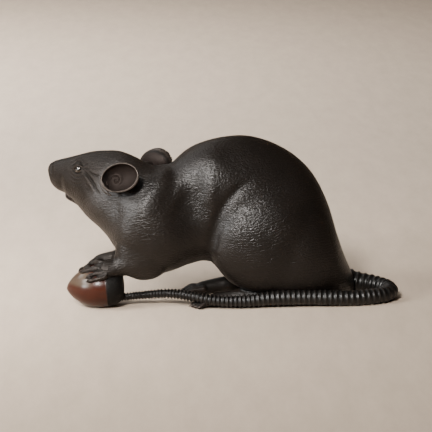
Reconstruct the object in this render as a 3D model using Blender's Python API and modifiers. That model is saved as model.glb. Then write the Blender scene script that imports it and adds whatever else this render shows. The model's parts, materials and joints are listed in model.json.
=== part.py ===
"""A bronze rat that sits on its haunches and rests its forepaws on a chestnut.

The nose points to -X, the tail curls round the near side (-Y), and everything stands on z = 0.
The figure is drawn on a grid of GRID_HEIGHT squares from floor to back, so that its pose and
proportions follow BODY_HEIGHT. The chestnut, the eyes and the fits have sizes of their own.
"""

import math

import bmesh
import bpy
from mathutils import Matrix, Vector

# Driving sizes, in metres
BODY_HEIGHT = 0.095
NUT_LENGTH = 0.0325
NUT_WIDTH = 0.028
NUT_HEIGHT = 0.024
EYE_RADIUS = 0.0024
FIT_GAP = 0.0003

# The drawing grid of the figure: one square is one millimetre at the full size
GRID_HEIGHT = 95.0
SQUARE = BODY_HEIGHT / GRID_HEIGHT

# The skin, nose to rump: top (x, z), bottom (x, z), half width, and how low the widest place sits
SKIN = [
    ((-105.8, 72.6), (-105.8, 70.8), 1.3, 0.0),
    ((-104.9, 75.0), (-104.7, 68.4), 3.0, 0.0),
    ((-103.2, 76.5), (-103.6, 65.6), 4.6, 0.0),
    ((-100.2, 77.8), (-102.0, 62.8), 6.2, 0.05),
    ((-95.8, 79.1), (-98.4, 60.6), 7.8, 0.1),
    ((-90.4, 80.7), (-93.0, 59.0), 9.6, 0.1),
    ((-84.2, 82.6), (-87.6, 56.6), 11.6, 0.08),
    ((-77.4, 84.6), (-83.2, 52.4), 13.5, 0.05),
    ((-69.6, 85.8), (-78.6, 48.8), 15.4, 0.05),
    ((-60.2, 86.2), (-73.6, 44.6), 17.0, 0.03),
    ((-50.0, 83.3), (-67.6, 40.4), 18.8, 0.03),
    ((-42.0, 79.2), (-62.0, 35.6), 20.6, 0.05),
    ((-35.4, 77.0), (-57.6, 29.8), 22.4, 0.08),
    ((-28.8, 77.8), (-53.6, 22.8), 24.2, 0.1),
    ((-22.3, 82.8), (-48.6, 18.0), 25.2, 0.1),
    ((-14.8, 87.8), (-41.6, 16.6), 25.2, 0.12),
    ((-6.1, 91.6), (-31.0, 18.4), 24.8, 0.12),
    ((2.0, 93.6), (-20.6, 22.0), 24.6, 0.14),
    ((10.7, 94.3), (-8.8, 23.2), 25.4, 0.16),
    ((19.4, 93.0), (5.0, 14.0), 27.2, 0.18),
    ((30.5, 88.9), (20.0, -2.0), 29.6, 0.2),
    ((42.0, 81.7), (36.0, -4.0), 30.8, 0.22),
    ((51.9, 71.4), (50.0, -4.0), 29.2, 0.22),
    ((59.4, 57.0), (60.0, -3.0), 25.6, 0.2),
    ((64.4, 40.4), (67.0, -2.0), 20.6, 0.15),
    ((69.8, 25.4), (72.8, -1.0), 14.0, 0.1),
    ((75.0, 13.6), (76.0, 1.5), 7.5, 0.0),
]
SKIN_RINGS_PER_STATION = 4
SKIN_SIDES = 48

# The head turns away from the near side: the spine bends between two places along x
HEAD_TURN = math.radians(39.5)
BEND_STARTS_X = -28.0
BEND_ENDS_X = -66.0
NECK_PIVOT_X = -47.8

# Lower jaw, under the middle of the head
JAW = [(-78.0, 0.0, 56.5), (-92.8, 0.0, 58.3)]
JAW_RADII = [6.5, 3.0]

# Haunch, knee and hind foot, on the near side; the far side mirrors them
THIGH_CENTRE = (22.5, -18.2, 41.0)
THIGH_RADII = (28.5, 14.8, 32.5)
KNEE = [(20.0, -14.5, 30.0), (8.6, -15.0, 22.6)]
KNEE_RADII = [15.0, 12.0]
HIND_FOOT = [(-9.0, -13.0, 3.5), (6.0, -15.5, 4.7), (24.0, -17.0, 5.2)]
HIND_FOOT_RADII = [3.6, 4.7, 5.4]
HIND_TOES = 5
TOE_RADIUS = 1.6
TOE_LENGTH = 10.0
HIND_TOE_SPREAD = math.radians(6)

# Arm and forepaw, on the near side; the paw lies on the chestnut
SHOULDER = (-33.0, -12.5, 42.0)
ELBOW = (-42.5, -11.0, 26.5)
ARM_RADII = (12.5, 10.2, 5.8)
WRIST_BEHIND_NUT_CENTRE = 11.0
PAW_ASIDE = 7.4
PAW_LENGTH = 9.0
PAW_RADIUS = 3.9
FINGER_RADIUS = 1.35
FINGER_LENGTH = 9.0
FINGERS = 4
FINGER_SPREAD = math.radians(9)

# Ear: a round cup with a rolled rim, given in the head's own frame
EAR_CENTRE = (-47.1, -22.4, 76.3)
EAR_RADII = (11.0, 8.8)
EAR_DEPTH = 6.6
EAR_WALL = 1.7
EAR_FACES = (0.15, -0.96, 0.2)
EAR_BASE = (-55.0, -13.0, 73.5)
EAR_STALK_RADII = (7.0, 4.6)

# Eye, in the head's own frame
EYE_CENTRE = (-80.4, -9.8, 76.0)
EYELID_RADII = (4.0, 2.4, 3.3)

# Tail: centre line, and the radius there; the rings are a share of the radius apart
TAIL = [
    ((62.0, 2.0, 12.0), 9.0),
    ((70.0, 1.6, 8.8), 7.6),
    ((78.5, 0.0, 6.6), 6.2),
    ((87.0, -4.5, 5.7), 5.5),
    ((93.2, -12.5, 5.1), 5.0),
    ((92.8, -21.5, 4.8), 4.7),
    ((85.0, -28.2, 4.7), 4.6),
    ((68.0, -30.8, 4.9), 4.5),
    ((40.0, -27.5, 5.6), 4.4),
    ((22.0, -25.5, 5.4), 4.3),
    ((8.0, -24.5, 4.4), 3.7),
    ((-6.0, -23.0, 4.8), 3.4),
    ((-16.0, -19.5, 5.9), 3.3),
    ((-24.5, -14.0, 6.9), 3.0),
    ((-34.5, -9.0, 7.1), 2.7),
    ((-46.0, -6.0, 6.1), 2.3),
]
TAIL_TIP_HEIGHT = 5.2
TAIL_TIP_RADIUS = 2.0
RING_PITCH = 0.72
RING_DEPTH = 0.13

# Chestnut: its place and lie, and its turned outline as shares of its length and half height
NUT_CENTRE = (-73.4, -2.0)
NUT_YAW = math.radians(-11.5)
NUT_TILT = math.radians(4)
NUT_OUTLINE = [
    (0.0, 0.0), (0.008, 0.09), (0.045, 0.27), (0.13, 0.52), (0.26, 0.78), (0.40, 0.93),
    (0.54, 0.995), (0.66, 0.99), (0.78, 0.945), (0.88, 0.84), (0.95, 0.68), (0.985, 0.45), (1.0, 0.0),
]
NUT_SIDES = 30
NUT_FLAT = 0.0005

# How finely the cast surface is faceted
SOFT_VOXEL = 1.2
SOFTENING_STEPS = 14
VOXEL = 0.62
SMOOTHING_STEPS = 5
BODY_TRIANGLE_SHARE = 0.0165


def clear_scene():
    for thing in list(bpy.data.objects):
        bpy.data.objects.remove(thing)


def collection(name, hidden=False):
    made = bpy.data.collections.new(name)
    bpy.context.scene.collection.children.link(made)
    made.hide_render = hidden
    return made


def material(name, colour, roughness, metallic):
    made = bpy.data.materials.new(name)
    made.use_nodes = True
    shader = made.node_tree.nodes["Principled BSDF"]
    shader.inputs["Base Color"].default_value = (*colour, 1.0)
    shader.inputs["Roughness"].default_value = roughness
    shader.inputs["Metallic"].default_value = metallic
    return made


def on_grid(x, y, z):
    """A place on the drawing grid, in metres."""
    return Vector((x, y, z)) * SQUARE


def mirrored(place):
    x, y, z = place
    return (x, -y, z)


def smooth(values, t):
    """The Catmull-Rom curve through the values, at t from 0 to 1. A value is a number or a tuple."""
    spans = len(values) - 1
    at = min(max(t, 0.0), 1.0) * spans
    first = min(int(at), spans - 1)
    u = at - first
    a, b, c, d = (values[min(max(first + step, 0), spans)] for step in (-1, 0, 1, 2))
    if isinstance(b, tuple):
        return tuple(smooth_step_between(*four, u) for four in zip(a, b, c, d))
    return smooth_step_between(a, b, c, d, u)


def smooth_step_between(a, b, c, d, u):
    return b + 0.5 * u * (c - a + u * (2 * a - 5 * b + 4 * c - d + u * (3 * (b - c) + d - a)))


def turned_with_neck(x, y, z):
    """Where a place on the straight figure goes when the neck bends."""
    if x > BEND_STARTS_X:
        return (x, y, z)
    steps = 24
    bend = BEND_STARTS_X - BEND_ENDS_X
    travelled = min(BEND_STARTS_X - x, bend)
    past = max(BEND_ENDS_X - x, 0.0)
    centre_x, centre_y = BEND_STARTS_X, 0.0
    for step in range(steps):
        angle = neck_angle((step + 0.5) / steps * travelled / bend)
        centre_x -= math.cos(angle) * travelled / steps
        centre_y += math.sin(angle) * travelled / steps
    angle = neck_angle(travelled / bend)
    centre_x -= math.cos(angle) * past
    centre_y += math.sin(angle) * past
    return (centre_x + y * math.sin(angle), centre_y + y * math.cos(angle), z)


def neck_angle(share):
    return HEAD_TURN * share * share * (3 - 2 * share)


def with_head(place):
    """Where a place on the straight head goes when the head turns about the neck."""
    x, y, z = place
    ahead = NECK_PIVOT_X - x
    return (
        NECK_PIVOT_X - ahead * math.cos(HEAD_TURN) + y * math.sin(HEAD_TURN),
        ahead * math.sin(HEAD_TURN) + y * math.cos(HEAD_TURN),
        z,
    )


def object_from(name, build, home):
    """A new object in a collection, whose mesh the function build fills in."""
    shape = bmesh.new()
    build(shape)
    mesh = bpy.data.meshes.new(name)
    shape.to_mesh(mesh)
    shape.free()
    made = bpy.data.objects.new(name, mesh)
    home.objects.link(made)
    return made


def skin_of_head_and_trunk(shape):
    """A loft through the stations of SKIN: each ring is an oval, wider below than above."""
    rings = []
    count = (len(SKIN) - 1) * SKIN_RINGS_PER_STATION
    for index in range(count + 1):
        t = index / count
        top = smooth([station[0] for station in SKIN], t)
        bottom = smooth([station[1] for station in SKIN], t)
        half_width = smooth([station[2] for station in SKIN], t)
        low = smooth([station[3] for station in SKIN], t)
        ring = []
        for side in range(SKIN_SIDES):
            turn = 2 * math.pi * side / SKIN_SIDES
            rise = 0.5 * (1 + math.cos(turn))
            x = bottom[0] + rise * (top[0] - bottom[0])
            z = bottom[1] + rise * (top[1] - bottom[1])
            y = half_width * math.sin(turn) * (1 - low * math.cos(turn))
            ring.append(shape.verts.new(on_grid(*turned_with_neck(x, y, z))))
        rings.append(ring)
    for before, after in zip(rings, rings[1:]):
        for side in range(SKIN_SIDES):
            beyond = (side + 1) % SKIN_SIDES
            shape.faces.new((before[side], before[beyond], after[beyond], after[side]))
    shape.faces.new(rings[0][::-1])
    shape.faces.new(rings[-1])
    bmesh.ops.recalc_face_normals(shape, faces=shape.faces)


def ellipsoid(shape, centre, radii, rotation=None):
    turn = (rotation or Matrix.Identity(3)).to_4x4()
    size = Matrix.Diagonal((*(r * SQUARE for r in radii), 1.0))
    matrix = Matrix.Translation(on_grid(*centre)) @ turn @ size
    bmesh.ops.create_uvsphere(shape, u_segments=40, v_segments=24, radius=1.0, matrix=matrix)


def tube_along(name, places, radii, home, sides_level):
    """A round tube through the places, in metres, as a closed mesh object."""
    data = bpy.data.curves.new(name, "CURVE")
    data.dimensions = "3D"
    data.bevel_depth = 1.0
    data.bevel_resolution = sides_level
    data.use_fill_caps = True
    spline = data.splines.new("POLY")
    spline.points.add(len(places) - 1)
    for point, place, radius in zip(spline.points, places, radii):
        point.co = (*place, 1.0)
        point.radius = radius
    curve = bpy.data.objects.new(name, data)
    home.objects.link(curve)
    bpy.context.view_layer.update()
    evaluated = curve.evaluated_get(bpy.context.evaluated_depsgraph_get())
    mesh = bpy.data.meshes.new_from_object(evaluated)
    matrix = curve.matrix_world.copy()
    bpy.data.objects.remove(curve)
    shape = bmesh.new()
    shape.from_mesh(mesh)
    bmesh.ops.remove_doubles(shape, verts=shape.verts, dist=0.00001)
    bmesh.ops.recalc_face_normals(shape, faces=shape.faces)
    shape.to_mesh(mesh)
    shape.free()
    made = bpy.data.objects.new(name, mesh)
    home.objects.link(made)
    made.matrix_world = matrix
    return made


def limb(name, places, radii, home, steps=6, sides_level=4):
    """A rounded, tapering limb through places on the grid."""
    count = (len(places) - 1) * steps
    line = [smooth(places, i / count) for i in range(count + 1)]
    sizes = [smooth(radii, i / count) for i in range(count + 1)]
    start, end = Vector(line[0]), Vector(line[-1])
    back = (start - Vector(line[1])).normalized()
    on = (end - Vector(line[-2])).normalized()
    dome = [math.radians(angle) for angle in (85, 65, 45, 25)]
    line = (
        [start + back * sizes[0] * math.sin(a) for a in dome]
        + [Vector(place) for place in line]
        + [end + on * sizes[-1] * math.sin(a) for a in reversed(dome)]
    )
    sizes = (
        [sizes[0] * math.cos(a) for a in dome] + sizes + [sizes[-1] * math.cos(a) for a in reversed(dome)]
    )
    return tube_along(
        name, [place * SQUARE for place in line], [size * SQUARE for size in sizes], home, sides_level
    )


def haunch(side):
    def build(shape):
        x, y, z = THIGH_CENTRE
        ellipsoid(shape, (x, y * side, z), THIGH_RADII)

    return build


def knee(side, home):
    return limb("knee", [(x, -y * side, z) for x, y, z in KNEE], KNEE_RADII, home)


def hind_foot(side, home):
    """The long hind foot: a wedge from the heel to the ball, and five toes."""
    places = [(x, y * side, z) for x, y, z in HIND_FOOT]
    pieces = [limb("hind_foot", places, HIND_FOOT_RADII, home)]
    ball = Vector(places[0])
    middle = (HIND_TOES - 1) / 2
    for toe in range(HIND_TOES):
        lean = (toe - middle) * HIND_TOE_SPREAD
        way = Vector((-math.cos(lean), math.sin(lean), 0.0))
        length = TOE_LENGTH * (1 - 0.1 * abs(toe - middle))
        start = ball + Vector((0.0, (toe - middle) * TOE_RADIUS * 1.15, 0.0))
        knuckle = start + way * length * 0.6 + Vector((0.0, 0.0, TOE_RADIUS * 0.5))
        tip = start + way * length
        tip.z = TOE_RADIUS * 0.8
        line = [tuple(start), tuple(knuckle), tuple(tip)]
        pieces.append(limb("toe", line, [TOE_RADIUS, TOE_RADIUS, TOE_RADIUS * 0.6], home, 3, 3))
    return pieces


def along_nut(x, y):
    """A place on the grid, as distances along and across the chestnut from its middle."""
    x, y = x - NUT_CENTRE[0], y - NUT_CENTRE[1]
    return (
        x * math.cos(NUT_YAW) + y * math.sin(NUT_YAW),
        y * math.cos(NUT_YAW) - x * math.sin(NUT_YAW),
    )


def nut_top(x, y):
    """The height of the chestnut's surface over a place on the grid, in squares."""
    along, aside = along_nut(x, y)
    share = along / (NUT_LENGTH / SQUARE) + 0.5
    width = 0.0
    for (a, low), (b, high) in zip(NUT_OUTLINE, NUT_OUTLINE[1:]):
        if a <= share <= b:
            width = low + (high - low) * (share - a) / (b - a)
    aside = aside / (NUT_WIDTH / SQUARE / 2)
    bulge = math.sqrt(max(width * width - aside * aside, 0.0))
    return (NUT_HEIGHT / 2 * (1 + bulge) - NUT_FLAT) / SQUARE + along * math.tan(NUT_TILT)


def wrist(side):
    x = NUT_CENTRE[0] + WRIST_BEHIND_NUT_CENTRE
    y = NUT_CENTRE[1] + PAW_ASIDE * side
    return (x, y, nut_top(x, y) + PAW_RADIUS * 0.8)


def arm(side, home):
    shoulder = (SHOULDER[0], -SHOULDER[1] * side, SHOULDER[2])
    elbow = (ELBOW[0], -ELBOW[1] * side, ELBOW[2])
    return [
        limb("upper_arm", [shoulder, elbow], list(ARM_RADII[:2]), home),
        limb("forearm", [elbow, wrist(side)], list(ARM_RADII[1:]), home),
    ]


def forepaw(side, home):
    """A paw whose fingers lie over the chestnut."""
    wrist_x, paw_y, _ = wrist(side)
    knuckles_x = wrist_x - PAW_LENGTH
    knuckles = (knuckles_x, paw_y, nut_top(knuckles_x, paw_y) + PAW_RADIUS * 0.35)
    pieces = [limb("paw", [wrist(side), knuckles], [ARM_RADII[2] * 0.9, PAW_RADIUS], home)]
    for finger in range(FINGERS):
        place = finger - (FINGERS - 1) / 2
        lean = place * FINGER_SPREAD
        line = []
        for share in (0.0, 0.35, 0.7, 1.0):
            x = knuckles_x - FINGER_LENGTH * share * math.cos(lean)
            y = paw_y + (place * FINGER_RADIUS * 1.7 + FINGER_LENGTH * share * math.sin(lean)) * side
            line.append((x, y, nut_top(x, y) + FINGER_RADIUS * (0.9 - 0.4 * share)))
        radii = [FINGER_RADIUS * 1.1, FINGER_RADIUS * 1.15, FINGER_RADIUS, FINGER_RADIUS * 0.6]
        pieces.append(limb("finger", line, radii, home, 3, 3))
    return pieces


def ear_axes(side):
    """The ear's own axes: across, up, and the way that its cup opens."""
    x, y, z = EAR_FACES
    opens = Vector(with_head((x + NECK_PIVOT_X, y * side, z))) - Vector(with_head((NECK_PIVOT_X, 0, 0)))
    opens.normalize()
    up = (Vector((0, 0, 1)) - opens * opens.z).normalized()
    return up.cross(opens), up, opens


def ear(side):
    """A cup: the outside of one half ellipsoid and the inside of a smaller one, joined at the rim."""

    def build(shape):
        x, y, z = EAR_CENTRE
        centre = on_grid(*with_head((x, y * side, z)))
        across, up, opens = ear_axes(side)
        rows, sides = 9, 32
        rings = []
        for wall, order in ((0.0, range(rows)), (EAR_WALL, range(rows - 1, -1, -1))):
            for row in order:
                tilt = math.radians(90) * (row + 0.5 if row == 0 else row) / (rows - 1)
                ring = []
                for step in range(sides):
                    turn = 2 * math.pi * step / sides
                    flat = (
                        across * (EAR_RADII[0] - wall) * math.cos(turn) + up * (EAR_RADII[1] - wall) * math.sin(turn)
                    ) * math.sin(tilt)
                    ring.append(
                        shape.verts.new(centre + (flat - opens * (EAR_DEPTH - wall) * math.cos(tilt)) * SQUARE)
                    )
                rings.append(ring)
        for before, after in zip(rings, rings[1:]):
            for step in range(sides):
                beyond = (step + 1) % sides
                shape.faces.new((before[step], before[beyond], after[beyond], after[step]))
        shape.faces.new(rings[0][::-1])
        shape.faces.new(rings[-1])
        bmesh.ops.recalc_face_normals(shape, faces=shape.faces)

    return build


def ear_stalk(side, home):
    """What joins the cup to the side of the head."""
    x, y, z = EAR_CENTRE
    opens = ear_axes(side)[2]
    back_of_cup = Vector(with_head((x, y * side, z))) - opens * (EAR_DEPTH + EAR_STALK_RADII[1] - EAR_WALL)
    base = Vector(with_head((EAR_BASE[0], EAR_BASE[1] * side, EAR_BASE[2])))
    return limb("ear_stalk", [tuple(base), tuple(back_of_cup)], list(EAR_STALK_RADII), home)


def eyelid(side):
    def build(shape):
        x, y, z = EYE_CENTRE
        turn = Matrix.Rotation(-HEAD_TURN, 3, "Z")
        ellipsoid(shape, with_head((x, y * side, z)), EYELID_RADII, turn)

    return build


def tail_rings():
    """The tail's centre line and radii, ridge and groove by turns, in squares; it ends in the chestnut."""
    reach = NUT_LENGTH / SQUARE / 2 - TAIL_TIP_RADIUS
    tip = (
        NUT_CENTRE[0] + reach * math.cos(NUT_YAW),
        NUT_CENTRE[1] + reach * math.sin(NUT_YAW),
        TAIL_TIP_HEIGHT,
    )
    places = [place for place, _ in TAIL] + [tip]
    radii = [radius for _, radius in TAIL] + [TAIL_TIP_RADIUS]
    samples = 2000
    line = [Vector(smooth(places, i / samples)) for i in range(samples + 1)]
    points, sizes, travelled, ridge = [line[0]], [radii[0]], 0.0, True
    for i in range(1, samples + 1):
        travelled += (line[i] - line[i - 1]).length
        radius = smooth(radii, i / samples)
        if travelled >= radius * RING_PITCH / 2:
            points.append(line[i])
            sizes.append(radius if ridge else radius * (1 - RING_DEPTH))
            travelled, ridge = 0.0, not ridge
    return points, sizes


def joined(name, pieces, home):
    """One object that holds the meshes of all the pieces, still overlapping."""
    shape = bmesh.new()
    for piece in pieces:
        mesh = piece.data.copy()
        mesh.transform(piece.matrix_world)
        shape.from_mesh(mesh)
        bpy.data.meshes.remove(mesh)
        bpy.data.objects.remove(piece)
    mesh = bpy.data.meshes.new(name)
    shape.to_mesh(mesh)
    shape.free()
    made = bpy.data.objects.new(name, mesh)
    home.objects.link(made)
    return made


def hidden(thing):
    thing.hide_render = True
    thing.display_type = "WIRE"
    return thing


def cut(thing, other, operation="DIFFERENCE"):
    change = thing.modifiers.new(operation.lower(), "BOOLEAN")
    change.operation = operation
    change.object = hidden(other)
    change.solver = "EXACT"


def nut_mesh(name, home, grown=0.0):
    """The chestnut, turned about its own length and squashed to its width, grown by a gap."""
    length, half_height = NUT_LENGTH + 2 * grown, NUT_HEIGHT / 2 + grown
    profile = bmesh.new()
    points = [
        profile.verts.new(((share - 0.5) * length, 0.0, height * half_height))
        for share, height in reversed(NUT_OUTLINE)
    ]
    for a, b in zip(points, points[1:]):
        profile.edges.new((a, b))
    mesh = bpy.data.meshes.new(name)
    profile.to_mesh(mesh)
    profile.free()
    made = bpy.data.objects.new(name, mesh)
    home.objects.link(made)
    turning = made.modifiers.new("turned", "SCREW")
    turning.axis = "X"
    turning.steps = turning.render_steps = NUT_SIDES
    turning.use_merge_vertices = True
    turning.merge_threshold = 0.00005
    turning.use_normal_calculate = True
    made.scale = (1.0, (NUT_WIDTH / 2 + grown) / half_height, 1.0)
    made.rotation_euler = (0.0, -NUT_TILT, NUT_YAW)
    made.location = (NUT_CENTRE[0] * SQUARE, NUT_CENTRE[1] * SQUARE, NUT_HEIGHT / 2 - NUT_FLAT)
    return made


def floor_cutter(name, home, height, reach=0.4):
    def build(shape):
        bmesh.ops.create_cube(shape, size=reach, matrix=Matrix.Translation((0, 0, height - reach / 2)))

    return object_from(name, build, home)


def frozen(thing):
    """Keep the outcome of the modifiers as the object's own mesh."""
    bpy.context.view_layer.update()
    evaluated = thing.evaluated_get(bpy.context.evaluated_depsgraph_get())
    mesh = bpy.data.meshes.new_from_object(evaluated)
    thing.modifiers.clear()
    thing.data = mesh
    return thing


def chestnut(parts, cutters):
    made = nut_mesh("chestnut", parts)
    cut(made, floor_cutter("nut_floor", cutters, 0.0))
    made.data.materials.append(material("copper_red_patina", (0.16, 0.035, 0.015), 0.32, 1.0))
    return made


def eye(side, name, parts):
    centre = on_grid(*with_head((EYE_CENTRE[0], EYE_CENTRE[1] * side, EYE_CENTRE[2])))
    outward = Vector(with_head((NECK_PIVOT_X, -side, 0.0))) - Vector(with_head((NECK_PIVOT_X, 0, 0)))
    bulge = centre + outward * EYELID_RADII[1] * SQUARE - outward * EYE_RADIUS * 0.72

    def build(shape):
        bmesh.ops.create_uvsphere(shape, u_segments=14, v_segments=8, radius=EYE_RADIUS)

    made = object_from(name, build, parts)
    made.location = bulge
    made.data.shade_smooth()
    return made


def eye_socket(ball, cutters):
    def build(shape):
        bmesh.ops.create_uvsphere(shape, u_segments=14, v_segments=8, radius=EYE_RADIUS + FIT_GAP)

    made = object_from(ball.name + "_socket", build, cutters)
    made.location = ball.location
    return made


def fuse(thing, voxel, steps):
    """Melt overlapping closed forms into one skin, and smooth the seams between them."""
    fused = thing.modifiers.new("fused", "REMESH")
    fused.mode = "VOXEL"
    fused.voxel_size = voxel * SQUARE
    softened = thing.modifiers.new("softened", "SMOOTH")
    softened.factor = 0.5
    softened.iterations = steps


def soft_forms(cutters):
    """Trunk, haunches and arms, melted together so that nothing of one seam is left sharp."""
    pieces = [object_from("skin", skin_of_head_and_trunk, cutters)]
    for side in (1, -1):
        pieces += [object_from("haunch", haunch(side), cutters), knee(side, cutters)]
        pieces += arm(side, cutters)
    made = joined("soft_forms", pieces, cutters)
    fuse(made, SOFT_VOXEL, SOFTENING_STEPS)
    return frozen(made)


def rat(parts, cutters, eyes):
    """The casting: the forms in one skin, the ringed tail, and the cuts for what it meets."""
    pieces = [soft_forms(cutters), object_from("skin", skin_of_head_and_trunk, cutters)]
    pieces.append(limb("jaw", [with_head(place) for place in JAW], JAW_RADII, cutters))
    for side in (1, -1):
        pieces += [object_from("haunch", haunch(side), cutters), object_from("ear", ear(side), cutters)]
        pieces += [object_from("eyelid", eyelid(side), cutters), ear_stalk(side, cutters)]
        pieces += hind_foot(side, cutters)
        pieces += forepaw(side, cutters)
    made = joined("rat", pieces, parts)
    fuse(made, VOXEL, SMOOTHING_STEPS)
    faceted = made.modifiers.new("faceted", "DECIMATE")
    faceted.ratio = BODY_TRIANGLE_SHARE
    points, sizes = tail_rings()
    tail = tube_along("tail", [p * SQUARE for p in points], [s * SQUARE for s in sizes], cutters, 3)
    cut(made, tail, "UNION")
    cut(made, nut_mesh("nut_bed", cutters, FIT_GAP))
    for ball in eyes:
        cut(made, eye_socket(ball, cutters))
    cut(made, floor_cutter("rat_floor", cutters, 0.0))
    made.data.materials.append(material("dark_bronze", (0.035, 0.026, 0.021), 0.38, 1.0))
    return made


def stand_centred(things):
    """Shift everything level, so that the middle of what the solids cover is over the origin."""
    bpy.context.view_layer.update()
    places = [thing.matrix_world @ vertex.co for thing in things for vertex in thing.data.vertices]
    low = [min(place[axis] for place in places) for axis in range(2)]
    high = [max(place[axis] for place in places) for axis in range(2)]
    shift = Vector((-(low[0] + high[0]) / 2, -(low[1] + high[1]) / 2, 0.0))
    for thing in bpy.data.objects:
        thing.location += shift


def main():
    clear_scene()
    parts = collection("rat_with_chestnut")
    cutters = collection("cutters")
    gilt = material("gilt", (0.35, 0.14, 0.05), 0.15, 1.0)
    eyes = [eye(1, "eye_left", parts), eye(-1, "eye_right", parts)]
    for ball in eyes:
        ball.data.materials.append(gilt)
    nut = frozen(chestnut(parts, cutters))
    casting = frozen(rat(parts, cutters, eyes))
    stand_centred([nut, casting] + eyes)


main()
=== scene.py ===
# %% [markdown]
# # A bronze rat that holds a chestnut
# The real object is a small Japanese ornament, cast in bronze by the lost wax way, chased with fine
# strokes for the fur and given a dark brown patina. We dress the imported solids: the animal gets one
# smooth, finely cut skin, its tail gets rings, and the nut and the eyes get their own finish.

import json
import math

import bpy
import numpy as np
from mathutils import Matrix, Vector
from mathutils.bvhtree import BVHTree

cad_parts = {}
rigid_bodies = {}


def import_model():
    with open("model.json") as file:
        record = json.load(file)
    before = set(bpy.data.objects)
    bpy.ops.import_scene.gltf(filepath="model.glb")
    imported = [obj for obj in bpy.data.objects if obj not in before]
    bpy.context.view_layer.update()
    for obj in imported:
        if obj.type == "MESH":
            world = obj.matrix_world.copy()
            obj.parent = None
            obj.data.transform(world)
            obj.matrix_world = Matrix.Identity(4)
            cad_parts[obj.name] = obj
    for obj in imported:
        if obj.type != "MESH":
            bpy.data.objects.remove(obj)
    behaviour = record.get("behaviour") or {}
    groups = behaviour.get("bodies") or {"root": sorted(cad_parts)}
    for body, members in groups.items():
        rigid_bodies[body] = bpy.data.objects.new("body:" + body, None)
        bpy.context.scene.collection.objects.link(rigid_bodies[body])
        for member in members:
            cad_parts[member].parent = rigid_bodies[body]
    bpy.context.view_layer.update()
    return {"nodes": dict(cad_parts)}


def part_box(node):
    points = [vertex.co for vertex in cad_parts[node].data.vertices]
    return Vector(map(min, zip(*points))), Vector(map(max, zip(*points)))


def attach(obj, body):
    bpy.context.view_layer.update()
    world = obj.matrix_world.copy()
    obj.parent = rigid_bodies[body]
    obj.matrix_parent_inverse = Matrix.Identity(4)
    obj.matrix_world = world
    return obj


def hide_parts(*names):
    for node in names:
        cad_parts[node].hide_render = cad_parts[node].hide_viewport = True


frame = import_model()
print("solids:", sorted(frame["nodes"]))

# %% [markdown]
# ## Camera
# The photograph was taken with a long lens from a little above the animal's back, turned slightly
# to its face. A long lens keeps the drawing nearly flat, so one millimetre is the same number of
# pixels at the nose and at the tail. The camera could be set by eye. Here it is worked out from two
# angles and the millimetres in a pixel, so that parts can be placed by the pixel where they show.

# %% Camera
MM = 0.001
IMAGE_PIXELS = 432
MM_PER_PIXEL = 0.571
CAMERA_AZIMUTH = math.radians(-11.5)
CAMERA_ELEVATION = math.radians(12)
CAMERA_DISTANCE = 1.3
SENSOR_WIDTH = 36.0

camera_right = np.array([math.cos(CAMERA_AZIMUTH), math.sin(CAMERA_AZIMUTH), 0.0])
camera_back = np.array(
    [
        math.sin(CAMERA_AZIMUTH) * math.cos(CAMERA_ELEVATION),
        -math.cos(CAMERA_AZIMUTH) * math.cos(CAMERA_ELEVATION),
        math.sin(CAMERA_ELEVATION),
    ]
)
camera_up = np.cross(camera_back, camera_right)

# The drawing's own zero sits beside the solids' zero. The left eye is in both, so it gives the
# shift between them further down.
PIXEL_OF_ZERO = np.array([222.5, 298.85])


def pixels_of(places):
    """Where places in the drawing, in millimetres, fall in the photograph's frame."""
    places = np.atleast_2d(places)
    x = PIXEL_OF_ZERO[0] + places @ camera_right / MM_PER_PIXEL
    y = PIXEL_OF_ZERO[1] - places @ camera_up / MM_PER_PIXEL
    return np.stack([x, y], axis=1)


print("the drawing's zero is at pixel", pixels_of([0, 0, 0])[0])

# %% [markdown]
# ## The drawing that the solids were made from
# The animal is drawn straight first, nose to the left, and then the neck is bent. That is how a
# modeller works too: the armature is laid out flat and turned last. Here are the measures of the
# solids once more, with more in them where the eye looks: cheeks, shoulder, ribs and flank.

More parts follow.
